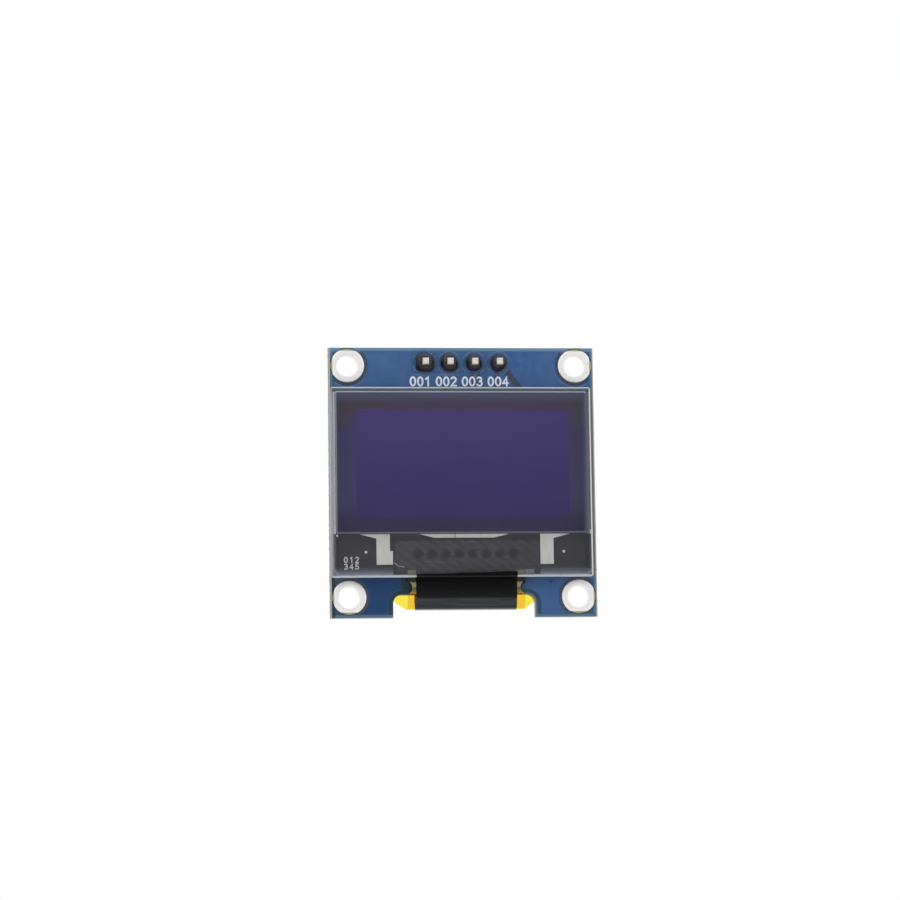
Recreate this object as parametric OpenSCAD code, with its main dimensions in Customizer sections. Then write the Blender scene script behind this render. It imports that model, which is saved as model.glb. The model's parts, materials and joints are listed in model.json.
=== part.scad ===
// Small OLED display module. A glass panel is taped to a blue carrier board. Its flex tail folds through a
// cut-out in the bottom edge and is soldered to the back, and a four-pin header is fitted at the top.
// Every sub-part is drawn lying flat: x to the right, y towards the header, z out of the screen, with the
// origin at the centre of the four mounting holes on the board's front face. stand() then turns it upright,
// so that the screen faces -Y and the header edge is on top.

/* [Board] */
// Overall width of the board, over its snapped side edges
board_w = 27.4; // [26.8:0.1:32]
// Height of the board
board_h = 27.7; // [27:0.1:32]
// Thickness of the board over both solder masks
board_t = 1.2; // [1:0.1:1.6]
// Thickness of each solder mask
mask_t = 0.04; // [0.02:0.01:0.08]
// Thickness of a tinned copper pad above the laminate
pad_t = 0.06; // [0.05:0.01:0.12]
// Gap between a pad and the edge of the mask round it
mask_gap = 0.06; // [0.03:0.01:0.15]
// How far the scored faces stop short of the snapped side edges
score_inset = 0.17; // [0.05:0.01:0.3]
// Depth of the scored groove from each face of the laminate
score_depth = 0.35; // [0.2:0.05:0.4]

/* [Mounting holes] */
// Distance from the side edges to the hole centres
hole_inset_x = 1.95; // [1.7:0.05:2.6]
// Distance from the top edge to the upper hole centres
hole_inset_y = 1.84; // [1.7:0.02:2.6]
// How far the middle of the board sits below the middle of the holes
board_drop = 0.11; // [0:0.01:0.3]
// Diameter of a finished mounting hole
hole_d = 2.2; // [1.8:0.1:2.6]
// Diameter of the tinned ring round a mounting hole
ring_d = 3.5; // [3.2:0.1:3.8]
// Distance from a hole's centre to the flats that keep its ring off the board edges
ring_flat = 1.52; // [1.4:0.02:1.7]
// Rise of the tin dome on a ring
ring_dome = 0.07; // [0.02:0.01:0.15]
// Wall of the plating inside a hole
plating_t = 0.05; // [0.03:0.01:0.08]

/* [Edge cut-out] */
// Width of the wide mouth at the bottom edge
mouth_w = 14.6; // [13.6:0.1:16]
// Height of the wide mouth above the lowest point of the fold
mouth_room = 1.6; // [1.3:0.05:2]
// Width of the slot above the two noses
slot_w = 12; // [11.6:0.1:12.6]
// Height of the slot above the wide mouth
slot_rise = 3.1; // [2.4:0.1:3.6]
// How far the cut-out sits right of centre
slot_shift = 0.2; // [0:0.05:0.4]
// Radius of the rounded noses that guide the flex
nose_r = 0.65; // [0.5:0.05:0.75]
// Reach of each nose into the slot
nose_reach = 0.42; // [0.2:0.02:0.5]
// Radius that the router leaves in the inner corners
cutter_r = 0.9; // [0.4:0.1:1]

/* [Pin header] */
// Spacing of the header pins
pin_pitch = 2.54; // [2.4:0.02:2.7]
// Side of a square pin
pin_side = 0.64; // [0.5:0.02:0.7]
// Distance from the top edge to the pin row
row_inset = 1.59; // [1.4:0.01:2.4]
// Length of a pin in front of the board
pin_front = 1.8; // [1.3:0.1:2.2]
// Length of a pin behind the insulator
pin_back = 6; // [4:0.5:9]
// Length of the taper at a pin's ends
pin_taper = 0.35; // [0.2:0.05:0.5]
// Diameter of a finished pin hole
pin_hole_d = 1.02; // [1:0.02:1.1]
// Diameter of the pad round a pin
pin_pad_d = 1.8; // [1.6:0.05:2]
// Height of a solder cone above its pad
cone_h = 1; // [0.6:0.05:1.2]
// Thickness of the header insulator
header_t = 2.54; // [2:0.02:3]
// Cut on the corners of each insulator segment
header_cut = 0.35; // [0.2:0.05:0.5]
// Width of the header insulator across the pin row
header_w = 2.5; // [2.2:0.02:2.7]
// Height of the feet that lift the insulator off the pads
header_foot = 0.2; // [0.12:0.02:0.4]
// Clearance round a pin in its insulator
pin_clearance = 0.02; // [0.01:0.01:0.05]

/* [Display panel] */
// Width of the display glass
glass_w = 26.7; // [25:0.1:28]
// Height of the front glass
glass_h = 19.45; // [18.8:0.05:20]
// Distance from the board's top edge down to the glass
glass_top_gap = 4.24; // [4:0.02:4.9]
// How far the glass sits left of centre
glass_shift = 0.25; // [0:0.05:0.4]
// Thickness of the front glass
front_glass_t = 0.65; // [0.5:0.05:1]
// Thickness of the cap glass behind it
cap_glass_t = 0.55; // [0.45:0.05:0.8]
// Height of the ledge of front glass below the cap glass
ledge_h = 4.45; // [4.1:0.05:4.8]
// Thickness of the glue line that seals the two glasses
seal_t = 0.05; // [0.03:0.01:0.1]
// Width of the glue line
seal_w = 1; // [0.6:0.1:1.2]
// Thickness of the polarizer film
polarizer_t = 0.2; // [0.1:0.02:0.3]
// Margin of bare glass round the polarizer
polarizer_margin = 0.48; // [0.3:0.02:0.8]
// Thickness of the double-sided tape under the panel
tape_t = 0.2; // [0.1:0.05:0.5]
// Margin of the tape inside the cap glass
tape_margin = 0.8; // [0.4:0.1:2]
// Width of the active area
active_w = 21.8; // [20:0.1:22.2]
// Height of the active area
active_h = 10.95; // [10:0.05:11.2]
// Distance from the top of the glass to the active area
active_top = 2.25; // [1.8:0.05:2.5]
// How far the active area sits right of the middle of the glass
active_shift = 0.15; // [0:0.05:0.4]
// Thickness of the pixel layer on the glass
pixel_t = 0.02; // [0.01:0.01:0.04]
// Depth of the pocket etched in the cap glass
pocket_depth = 0.25; // [0.15:0.05:0.35]
// Margin of the pocket outside the active area
pocket_margin = 0.5; // [0.2:0.1:0.8]
// Thickness of the desiccant sheet in the pocket
desiccant_t = 0.15; // [0.1:0.01:0.2]

/* [Glass ledge] */
// Thickness of the metal films on the back of the ledge
film_t = 0.02; // [0.01:0.01:0.04]
// Margin between the ledge films and the glass edges
film_margin = 0.3; // [0.2:0.05:0.5]
// Margin between the ledge films and the cap glass
film_top_gap = 0.03; // [0.01:0.01:0.2]
// Cut corner at the top of the ledge film
film_chamfer = 0.35; // [0.2:0.05:0.6]
// Gap between neighbouring films
film_gap = 0.03; // [0.01:0.01:0.05]
// Distance from the cap glass down to the fan-out wiring
fanout_top = 0.44; // [0.42:0.02:0.6]
// Distance from the left edge of the glass to the left bus pad
left_bus_inset = 4.6; // [4.2:0.05:5]
// Distance from the right edge of the glass to the right bus pad
right_bus_inset = 3.98; // [3.6:0.02:4.4]
// Width of a bus pad
bus_w = 1.36; // [1.2:0.02:1.5]
// Length of a bus pad
bus_l = 3.1; // [2.6:0.05:3.3]
// Reach of the pointed horn at the top of a bus pad
bus_horn = 1.7; // [1:0.05:2]
// Depth of the horn at its root
horn_drop = 0.45; // [0.3:0.02:0.6]
// Widening of the left bus pad at its lower end
bus_toe = 0.3; // [0.1:0.02:0.4]
// Length of the widened end
toe_l = 1.38; // [1:0.02:1.6]
// Length of the bar above the wiring
bar_l = 9.16; // [8:0.02:10]
// Slope at each end of the bar
bar_slope = 1.5; // [1:0.1:2]
// How far the bar sits right of the middle of the glass
bar_shift = 0.22; // [0:0.02:0.4]
// Width of the slit in the bar
bar_slit = 0.06; // [0.04:0.01:0.1]
// Distance from the middle of the bar to the slit
slit_shift = 0.92; // [0.5:0.02:2]
// Diameter of the two alignment marks
mark_d = 0.28; // [0.2:0.02:0.4]
// Distance between the two marks
mark_spacing = 20.25; // [19.5:0.05:21]
// How far the marks sit right of the middle of the glass
mark_shift = 0.3; // [0:0.02:0.4]
// Distance of the marks below the cap glass
mark_drop = 1.85; // [1.4:0.05:2.4]
// Length of the driver chip
ic_w = 6.8; // [5:0.1:9]
// Height of the driver chip on the ledge
ic_h = 0.9; // [0.7:0.1:1.1]
// Thickness of the driver chip
ic_t = 0.3; // [0.2:0.02:0.4]
// Distance from the cap glass down to the driver chip
ic_top = 1.25; // [0.8:0.05:1.6]

/* [Flex tail] */
// Width of the flex where it leaves the glass
flex_w = 12; // [11:0.1:12.4]
// Thickness of the flex
flex_t = 0.1; // [0.06:0.01:0.15]
// How far the flex sits right of centre
flex_shift = 0.14; // [0:0.02:0.3]
// Length of flex bonded to the ledge
bond_len = 1.5; // [1:0.1:1.8]
// Distance from the edge of the glass down to the lowest point of the fold
fold_drop = 3.28; // [3:0.02:4]
// Gap between the front leg and the two noses that it passes
nose_gap = 0.05; // [0.03:0.01:0.1]
// Width of the soldered end of the flex
tail_w = 19.8; // [19:0.1:20.4]
// Height of the tail above the fold, on the back
tail_len = 8; // [7:0.1:9]
// Height of the part where the tail widens
flare_h = 2.8; // [2:0.1:3.6]
// Gap between the back of the board and the tail
tail_lift = 0.05; // [0.03:0.01:0.1]
// Width of the black tape round the fold
wrap_w = 10.3; // [8:0.1:11]
// Thickness of the black tape
wrap_t = 0.06; // [0.04:0.01:0.1]
// Gap between the black tape and the edge of the glass
wrap_gap = 0.04; // [0.02:0.01:0.2]
// Height of the black tape above the fold, on the back
wrap_back = 3.4; // [2:0.1:5]
// Spacing of the soldered contacts
contact_pitch = 0.62; // [0.6:0.01:0.64]
// Width of a soldered contact
contact_w = 0.36; // [0.26:0.02:0.42]
// Length of a soldered contact on the tail
contact_len = 1.3; // [0.9:0.1:1.6]
// How far a contact reaches past the end of the tail
contact_toe = 0.4; // [0.2:0.05:0.6]
// Thickness of the solder on a contact
contact_t = 0.08; // [0.04:0.01:0.15]

/* [Parts on the back] */
// Length of a chip part
chip_l = 1.6; // [1.4:0.05:1.8]
// Width of a chip part
chip_w = 0.8; // [0.7:0.05:0.9]
// Length of a chip part's end caps
chip_end = 0.3; // [0.2:0.05:0.4]
// Height of a capacitor
cap_h = 0.8; // [0.5:0.05:1]
// Height of a resistor
res_h = 0.45; // [0.3:0.05:0.6]
// Radius on the long edges of a chip part
chip_round = 0.06; // [0.03:0.01:0.1]
// How far a chip part's body lies inside its end caps
chip_gap = 0.02; // [0.01:0.01:0.04]
// Thickness of the dark coat on a resistor
coat_t = 0.03; // [0.02:0.01:0.05]
// How far a solder fillet reaches past a chip part
fillet_l = 0.35; // [0.2:0.05:0.45]
// Spacing of the parts along a row
part_pitch = 3.2; // [2.9:0.1:3.4]
// Distance from the tail's contacts up to the first row
first_row = 2; // [1.8:0.1:2.4]
// Spacing of the rows
row_pitch = 3.7; // [3.4:0.1:3.9]
// Length of the regulator body
reg_l = 2.9; // [2.7:0.05:3.1]
// Width of the regulator body
reg_w = 1.3; // [1.2:0.05:1.5]
// Height of the regulator body
reg_h = 1; // [0.8:0.05:1.2]
// Gap between the regulator and the board
reg_lift = 0.1; // [0.05:0.01:0.2]
// Draft of the regulator's moulded sides
reg_draft = 0.12; // [0.05:0.01:0.2]
// Spacing of the regulator's leads
lead_pitch = 1.9; // [1.7:0.05:2]
// Width of a regulator lead
lead_w = 0.42; // [0.3:0.02:0.5]
// Thickness of a regulator lead
lead_t = 0.13; // [0.1:0.01:0.18]
// Reach of a lead from the regulator body
lead_reach = 0.6; // [0.5:0.05:0.7]
// Margin of a pad round a lead's foot
lead_margin = 0.15; // [0.05:0.05:0.25]

/* [Hidden] */

$fn = 64;

// Levels along z, from the front face of the board
lam_front = -mask_t;
lam_back = mask_t - board_t;
pad_front = lam_front + pad_t;
pad_back = lam_back - pad_t;
cap_back = tape_t;
cap_front = cap_back + cap_glass_t;
glass_back = cap_front + seal_t;
glass_front = glass_back + front_glass_t;
tracks_back = glass_back - film_t;
film_back = tracks_back - film_t;

// Places in the plane of the board
top_edge = board_h / 2 - board_drop;
hole_x = board_w / 2 - hole_inset_x;
hole_y = top_edge - hole_inset_y;
face_w = board_w - 2 * score_inset;
row_y = top_edge - row_inset;
glass_x = -glass_shift;
glass_top = top_edge - glass_top_gap;
glass_bottom = glass_top - glass_h;
ledge_y = glass_bottom + ledge_h;
cap_h_y = glass_top - ledge_y;
panel_left = glass_x - glass_w / 2;
panel_right = glass_x + glass_w / 2;
active_x = glass_x + active_shift;
active_y = glass_top - active_top - active_h / 2;

// The fold of the flex: radius of its inner face, and the line it turns about
flex_back = film_back - flex_t;
fold_r = (flex_back + board_t + tail_lift) / 2;
fold_z = flex_back - fold_r;
fold_bottom = glass_bottom - fold_drop;
fold_y = fold_bottom + wrap_t + flex_t + fold_r;
tail_end = fold_y + tail_len;
mouth_top = fold_bottom + mouth_room;
slot_top = mouth_top + slot_rise;
nose_x = slot_w / 2 - nose_reach + nose_r;
nose_y = mouth_top + nose_r;
CONTACTS = 30;

// Mounting holes, from top left clockwise, as signs of x and y
CORNERS = [[-1, 1], [1, 1], [1, -1], [-1, -1]];
PINS = 4;

// Chip parts: [column, row, turned upright], counted from the middle of the first row
CAPACITORS = [[-2.5, 0, 1], [-1.5, 0, 1], [-0.5, 0, 1], [0.5, 0, 1], [1.5, 0, 1], [3, 2, 1], [0.2, 2, 1]];
RESISTORS = [[2.5, 0, 1], [-2.3, 1, 0], [-1.1, 1, 0], [0.4, 1, 0], [-2.3, 2, 0]];
// Empty places for chip parts that other versions carry
SPARES = [[-1.1, 2, 0]];
// The regulator, in the same columns and rows
REGULATOR = [1.7, 1.75];

// ---- shared helpers ----

module stand() rotate([90, 0, 0]) children();

// A flat shape as a plate between two levels
module plate(low, high) translate([0, 0, low]) linear_extrude(high - low) children();

// A centred rectangle with round corners
module round_rect(w, h, r) {
    square([w - 2 * r, h], center = true);
    square([w, h - 2 * r], center = true);
    for (sx = [-1, 1], sy = [-1, 1])
        translate([sx * (w / 2 - r), sy * (h / 2 - r)]) circle(r);
}

// A block whose four sides follow one half profile [distance from the axis, z] for x and one for y
module profiled_block(x_half, y_half, w, h) {
    intersection() {
        rotate([90, 0, 0]) linear_extrude(2 * h, center = true) mirrored_profile(x_half);
        rotate([90, 0, 90]) linear_extrude(2 * w, center = true) mirrored_profile(y_half);
    }
}

module mirrored_profile(half)
    polygon(concat(half, [for (i = [len(half) - 1:-1:0]) [-half[i][0], half[i][1]]]));

// A row of points that rises from z by one half wave between two radii
function dome(r_in, r_out, z, rise, steps = 6) =
    [for (i = [0:steps]) [r_in + (r_out - r_in) * i / steps, z + rise * sin(180 * i / steps)]];

function backwards(points) = [for (i = [len(points) - 1:-1:0]) points[i]];

// A plated hole: barrel and two flanges in one turned piece
module eyelet(hole_r, flange_r, rise) {
    rotate_extrude()
        polygon(concat(
            dome(hole_r, flange_r, pad_front, rise),
            [[flange_r, lam_front], [hole_r + plating_t, lam_front]],
            [[hole_r + plating_t, lam_back], [flange_r, lam_back]],
            backwards(dome(hole_r, flange_r, pad_back, -rise))
        ));
}

function pin_x(i) = (i - (PINS - 1) / 2) * pin_pitch;
function contact_x(i) = (i - (CONTACTS - 1) / 2) * contact_pitch;
function part_x(spot) = spot[0] * part_pitch;
function part_y(spot) = tail_end + first_row + spot[1] * row_pitch;

module at_corner(i) translate([CORNERS[i][0] * hole_x, CORNERS[i][1] * hole_y, 0]) children();

module at_pin(i) translate([pin_x(i), row_y, 0]) children();

// Places a chip part: x runs along its length and z away from the back of the board
module at_part(spot)
    translate([part_x(spot), part_y(spot), pad_back])
        rotate([180, 0, spot[2] == 1 ? 90 : 0]) children();

// ---- board ----

// The two noses that guide the flex, grown by g
module noses(g = 0)
    for (side = [-1, 1]) translate([slot_shift + side * nose_x, nose_y]) circle(nose_r + g);

// The cut-out for the flex: a wide mouth, the noses above it, and a slot behind the glass
module cutout() {
    mouth_h = 2 * board_h;
    difference() {
        union() {
            translate([0, mouth_top - mouth_h / 2]) round_rect(mouth_w, mouth_h, cutter_r);
            translate([slot_shift, slot_top - mouth_h / 2]) round_rect(slot_w, mouth_h, cutter_r / 2);
        }
        noses();
    }
}

module board_face() {
    difference() {
        translate([0, -board_drop]) square([face_w, board_h], center = true);
        cutout();
    }
}

// The board is scored and snapped at its sides, and routed at its top and bottom
module circuit_board() color("khaki") stand() {
    difference() {
        translate([0, -board_drop, 0]) rotate([90, 0, 0]) linear_extrude(board_h, center = true)
            mirrored_profile([
                [face_w / 2, lam_front], [board_w / 2, lam_front - score_depth],
                [board_w / 2, lam_back + score_depth], [face_w / 2, lam_back]
            ]);
        translate([0, 0, -2 * board_t]) linear_extrude(3 * board_t) cutout();
        for (i = [0:3]) at_corner(i)
            cylinder(h = 3 * board_t, r = hole_d / 2 + plating_t, center = true);
        for (i = [0:PINS - 1]) at_pin(i)
            cylinder(h = 3 * board_t, r = pin_hole_d / 2 + plating_t, center = true);
    }
}

// Openings in both masks for the mounting rings and the pin pads
module common_openings() {
    for (c = CORNERS) translate([c[0] * hole_x, c[1] * hole_y]) circle(ring_d / 2 + mask_gap);
    translate([pin_x(0), row_y]) square(pin_pad_d + 2 * mask_gap, center = true);
    for (i = [1:PINS - 1]) translate([pin_x(i), row_y]) circle(pin_pad_d / 2 + mask_gap);
}

module solder_mask_front() color("royalblue") stand() plate(lam_front, 0)
    difference() {
        board_face();
        common_openings();
    }

module solder_mask_back() color("royalblue") stand() plate(-board_t, lam_back)
    difference() {
        board_face();
        common_openings();
        translate([flex_shift, tail_end + (contact_toe - contact_len) / 2])
            square([CONTACTS * contact_pitch + 2 * mask_gap, contact_len + contact_toe + 2 * mask_gap],
                   center = true);
        for (spot = concat(CAPACITORS, RESISTORS, SPARES))
            translate([part_x(spot), part_y(spot)]) rotate(spot[2] == 1 ? 90 : 0)
                chip_pads(mask_gap);
        translate([part_x(REGULATOR), part_y(REGULATOR)]) lead_pads(mask_gap);
    }

module mounting_ring(i) color("gainsboro") stand() at_corner(i)
    intersection() {
        eyelet(hole_d / 2, ring_d / 2, ring_dome);
        translate([CORNERS[i][0] * (ring_flat - ring_d), CORNERS[i][1] * (ring_flat - ring_d), 0])
            cube([2 * ring_d, 2 * ring_d, 3 * board_t], center = true);
    }

module mounting_ring_1() mounting_ring(0);
module mounting_ring_2() mounting_ring(1);
module mounting_ring_3() mounting_ring(2);
module mounting_ring_4() mounting_ring(3);

// ---- header ----

module pin_pad(i) color("silver") stand() at_pin(i) eyelet(pin_hole_d / 2, pin_pad_d / 2, 0);

// The first pad is square, so that the header can't be fitted the wrong way round
module pin_pad_1() color("silver") stand() at_pin(0)
    difference() {
        union() {
            plate(lam_front, pad_front) square(pin_pad_d, center = true);
            cylinder(h = 2 * board_t, r = pin_hole_d / 2 + plating_t, center = true);
            plate(pad_back, lam_back) square(pin_pad_d, center = true);
        }
        cylinder(h = 5 * board_t, r = pin_hole_d / 2, center = true);
        plate(pad_front, 3 * board_t) square(2 * pin_pad_d, center = true);
        plate(-4 * board_t, pad_back) square(2 * pin_pad_d, center = true);
    }
module pin_pad_2() pin_pad(1);
module pin_pad_3() pin_pad(2);
module pin_pad_4() pin_pad(3);

// Solder that fills a pin hole and climbs the pin in a hollow cone
module solder_cone(i) color("dimgray") stand() at_pin(i)
    difference() {
        base_r = 0.96 * pin_pad_d / 2;
        top_r = 0.82 * pin_side;
        steps = 7;
        rotate_extrude()
            polygon(concat(
                [[0, pad_back], [pin_hole_d / 2, pad_back], [pin_hole_d / 2, pad_front]],
                [for (k = [0:steps])
                    let (rise = k / steps)
                    [top_r + (base_r - top_r) * pow(1 - rise, 1.7), pad_front + cone_h * pow(rise, 0.85)]],
                [[0, pad_front + cone_h]]
            ));
        cube([pin_side, pin_side, 6 * board_t], center = true);
    }

module solder_cone_1() solder_cone(0);
module solder_cone_2() solder_cone(1);
module solder_cone_3() solder_cone(2);
module solder_cone_4() solder_cone(3);

// A moulded strip with a waist between neighbouring pins, on small feet
module header_insulator() color("black") stand() {
    body_back = -board_t - header_t;
    body_front = -board_t - header_foot;
    corner = header_cut;
    half = pin_pitch / 2;
    difference() {
        union() {
            for (i = [0:PINS - 1]) at_pin(i)
                plate(body_back, body_front)
                    polygon([
                        [-half, header_w / 2 - corner], [corner - half, header_w / 2],
                        [half - corner, header_w / 2], [half, header_w / 2 - corner],
                        [half, corner - header_w / 2], [half - corner, -header_w / 2],
                        [corner - half, -header_w / 2], [-half, corner - header_w / 2]
                    ]);
            for (i = [0:PINS - 2]) translate([pin_x(i) + half, row_y, 0])
                plate(body_back, -board_t)
                    square([pin_pitch - pin_pad_d - 4 * mask_gap, header_w - 2 * corner], center = true);
        }
        for (i = [0:PINS - 1]) at_pin(i)
            cube([pin_side + 2 * pin_clearance, pin_side + 2 * pin_clearance, 8 * header_t], center = true);
    }
}

// A square pin, tapered on all four sides at both ends
module header_pin(i) color("gold") stand() at_pin(i) {
    front = pin_front;
    back = -board_t - header_t - pin_back;
    side = pin_side / 2;
    tip = side / 2;
    profile = [[tip, front], [side, front - pin_taper], [side, back + pin_taper], [tip, back]];
    profiled_block(profile, profile, pin_side, pin_side);
}

module header_pin_1() header_pin(0);
module header_pin_2() header_pin(1);
module header_pin_3() header_pin(2);
module header_pin_4() header_pin(3);

// ---- display panel ----

module at_cap() translate([glass_x, (glass_top + ledge_y) / 2]) children();

module mounting_tape() color("white") stand() plate(0, tape_t)
    at_cap() square([glass_w - 2 * tape_margin, cap_h_y - 2 * tape_margin], center = true);

module pocket_outline(margin)
    translate([active_x, active_y])
        square([active_w + 2 * margin, active_h + 2 * margin], center = true);

module cap_glass() color("lightcyan") stand()
    difference() {
        plate(cap_back, cap_front) at_cap() square([glass_w, cap_h_y], center = true);
        plate(cap_front - pocket_depth, cap_front + seal_t) pocket_outline(pocket_margin);
    }

module desiccant_sheet() color("white") stand()
    plate(cap_front - pocket_depth, cap_front - pocket_depth + desiccant_t) pocket_outline(0);

module edge_seal() color("ivory") stand() plate(cap_front, glass_back)
    at_cap() difference() {
        square([glass_w, cap_h_y], center = true);
        square([glass_w - 2 * seal_w, cap_h_y - 2 * seal_w], center = true);
    }

module pixel_layer() color("darkslateblue") stand()
    plate(glass_back - pixel_t, glass_back)
        translate([active_x, active_y]) square([active_w, active_h], center = true);

module front_glass() color("lightcyan") stand()
    plate(glass_back, glass_front)
        translate([glass_x, (glass_top + glass_bottom) / 2]) square([glass_w, glass_h], center = true);

module polarizer() color("dimgray") stand()
    plate(glass_front, glass_front + polarizer_t)
        translate([panel_left + polarizer_margin, ledge_y])
            square([glass_w - 2 * polarizer_margin, cap_h_y - polarizer_margin]);

// ---- ledge ----

// Metal tracks on the glass: a bus pad beside each end of the wiring, and a bar above it
module bus_pad(toe)
    polygon([
        [-bus_horn, 0], [bus_w, 0], [bus_w, toe_l - bus_l], [bus_w + toe, toe_l - bus_l],
        [bus_w + toe, -bus_l], [0, -bus_l], [0, -horn_drop]
    ]);

module bus_bar() {
    foot = film_top_gap - fanout_top + film_gap;
    difference() {
        polygon([[-bar_l / 2, 0], [bar_l / 2, 0], [bar_l / 2 - bar_slope, foot], [bar_slope - bar_l / 2, foot]]);
        translate([-slit_shift - bar_slit, -fanout_top]) square([bar_slit, 2 * fanout_top]);
    }
}

module bus_pads() color("silver") stand() plate(tracks_back, glass_back) {
    top = ledge_y - film_top_gap;
    translate([panel_left + left_bus_inset, top]) bus_pad(bus_toe);
    translate([panel_right - right_bus_inset, top]) mirror([1, 0]) bus_pad(0);
    translate([glass_x + bar_shift, top]) bus_bar();
    for (side = [-1, 1])
        translate([glass_x + mark_shift + side * mark_spacing / 2, ledge_y - mark_drop])
            circle(d = mark_d);
}

module fanout_film() color("dimgray") stand() plate(tracks_back, glass_back) {
    left = panel_left + left_bus_inset + bus_w + bus_toe + film_gap;
    right = panel_right - right_bus_inset - bus_w - film_gap;
    low = glass_bottom + film_margin;
    translate([left, low]) square([right - left, ledge_y - fanout_top - low]);
}

// A dark coat behind the tracks
module ledge_film() color("darkslategray") stand() plate(film_back, tracks_back) {
    left = panel_left + film_margin;
    right = panel_right - film_margin;
    low = glass_bottom + film_margin;
    high = ledge_y - film_top_gap;
    polygon([
        [left, low], [right, low], [right, high - film_chamfer], [right - film_chamfer, high],
        [left + film_chamfer, high], [left, high - film_chamfer]
    ]);
}

module driver_chip() color("darkgray") stand()
    plate(film_back - ic_t, film_back)
        translate([flex_shift, ledge_y - ic_top - ic_h / 2]) square([ic_w, ic_h], center = true);

// ---- flex tail ----

// Section of a strip that lies outside the fold's inner face by gap, drawn in y and z
module fold_section(gap, thick, front_end, back_end) {
    inner = fold_r + gap;
    difference() {
        translate([fold_y, fold_z]) circle(inner + thick);
        translate([fold_y, fold_z]) circle(inner);
        translate([fold_y, fold_z - 2 * inner]) square(4 * inner);
    }
    translate([fold_y, fold_z + inner]) square([front_end - fold_y, thick]);
    translate([fold_y, fold_z - inner - thick]) square([back_end - fold_y, thick]);
}

module folded_strip(w, gap, thick, front_end, back_end)
    translate([flex_shift, 0, 0]) rotate([90, 0, 90]) linear_extrude(w, center = true)
        fold_section(gap, thick, front_end, back_end);

// The tail seen from the front: narrow at the fold, then flared to the row of contacts
module tail_plan() translate([flex_shift, 0]) {
    flare_low = fold_bottom + wrap_t;
    polygon([
        [-flex_w / 2, flare_low - flex_t], [-flex_w / 2, flare_low],
        [-tail_w / 2, flare_low + flare_h], [-tail_w / 2, tail_end + flex_t],
        [tail_w / 2, tail_end + flex_t], [tail_w / 2, flare_low + flare_h],
        [flex_w / 2, flare_low], [flex_w / 2, flare_low - flex_t]
    ]);
}

// The leg in front of the fold, notched at the noses, up to where it is bonded to the glass
module leg_plan()
    difference() {
        translate([flex_shift - flex_w / 2, fold_bottom])
            square([flex_w, glass_bottom + bond_len + flex_t - fold_bottom]);
        noses(nose_gap);
    }

module flex_tail() color("darkorange") stand() {
    reach = 2 * fold_r;
    intersection() {
        folded_strip(tail_w, 0, flex_t, glass_bottom + bond_len, tail_end);
        union() {
            plate(fold_z, fold_z + reach) leg_plan();
            plate(fold_z - reach, fold_z) tail_plan();
        }
    }
}

module wrap_tape() color("black") stand()
    folded_strip(wrap_w, flex_t, wrap_t, glass_bottom - wrap_gap, fold_y + wrap_back);

// Each contact is a pad under the tail, joined by solder round its end to a bar on top
module tail_contacts() color("silver") stand() {
    tail_back = -board_t - tail_lift - flex_t;
    for (i = [0:CONTACTS - 1])
        translate([flex_shift + contact_x(i), 0, 0])
            rotate([90, 0, 90]) linear_extrude(contact_w, center = true)
                polygon([
                    [tail_end - contact_len, lam_back], [tail_end + contact_toe, lam_back],
                    [tail_end + contact_toe, pad_back], [tail_end + contact_toe / 3, tail_back - contact_t],
                    [tail_end - contact_len + 2 * contact_t, tail_back - contact_t],
                    [tail_end - contact_len, tail_back], [tail_end, tail_back],
                    [tail_end, -board_t - tail_lift], [tail_end - contact_len, -board_t - tail_lift]
                ]);
}

// ---- parts on the back ----

// Pads of a chip part in the plane of the board, grown by g
module chip_pads(g = 0)
    for (side = [-1, 1])
        translate([side * (chip_l / 2 - chip_end / 2 + fillet_l / 2), 0])
            square([chip_end + fillet_l + 2 * g, chip_w + 2 * g], center = true);

// A length of bar with round long edges, from x = a to x = b
module chip_bar(a, b, w, h, base = 0)
    translate([a, 0, base]) rotate([90, 0, 90]) linear_extrude(b - a)
        translate([0, h / 2]) round_rect(w, h, chip_round);

module chip_body(spot, h, top_gap) at_part(spot)
    chip_bar(chip_end - chip_l / 2, chip_l / 2 - chip_end, chip_w - 2 * chip_gap, h - chip_gap - top_gap,
             chip_gap);

module chip_ends(spots, h)
    for (spot = spots, side = [0, 180])
        at_part(spot) rotate([0, 0, side]) chip_bar(chip_l / 2 - chip_end, chip_l / 2, chip_w, h);

module capacitor(i) color("tan") stand() chip_body(CAPACITORS[i], cap_h, chip_gap);

module capacitor_1() capacitor(0);
module capacitor_2() capacitor(1);
module capacitor_3() capacitor(2);
module capacitor_4() capacitor(3);
module capacitor_5() capacitor(4);
module capacitor_6() capacitor(5);
module capacitor_7() capacitor(6);

module capacitor_ends() color("silver") stand() chip_ends(CAPACITORS, cap_h);

module resistor(i) color("white") stand() chip_body(RESISTORS[i], res_h, coat_t);

module resistor_1() resistor(0);
module resistor_2() resistor(1);
module resistor_3() resistor(2);
module resistor_4() resistor(3);
module resistor_5() resistor(4);

module resistor_coats() color("black") stand()
    for (spot = RESISTORS) at_part(spot)
        plate(res_h - coat_t, res_h)
            square([chip_l - 2 * chip_end, chip_w - 2 * chip_round], center = true);

module resistor_ends() color("silver") stand() chip_ends(RESISTORS, res_h);

// A tinned pad with the solder that climbs the end of a chip part
module solder_fillets(spot, h) at_part(spot)
    for (side = [0, 180]) rotate([0, 0, side])
        rotate([90, 0, 0]) linear_extrude(chip_w, center = true)
            polygon([
                [chip_l / 2 - chip_end, 0], [chip_l / 2, 0], [chip_l / 2, 0.7 * h],
                [chip_l / 2 + 0.3 * fillet_l, 0.3 * h], [chip_l / 2 + fillet_l, 0.06 * h],
                [chip_l / 2 + fillet_l, -pad_t], [chip_l / 2 - chip_end, -pad_t]
            ]);

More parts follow.
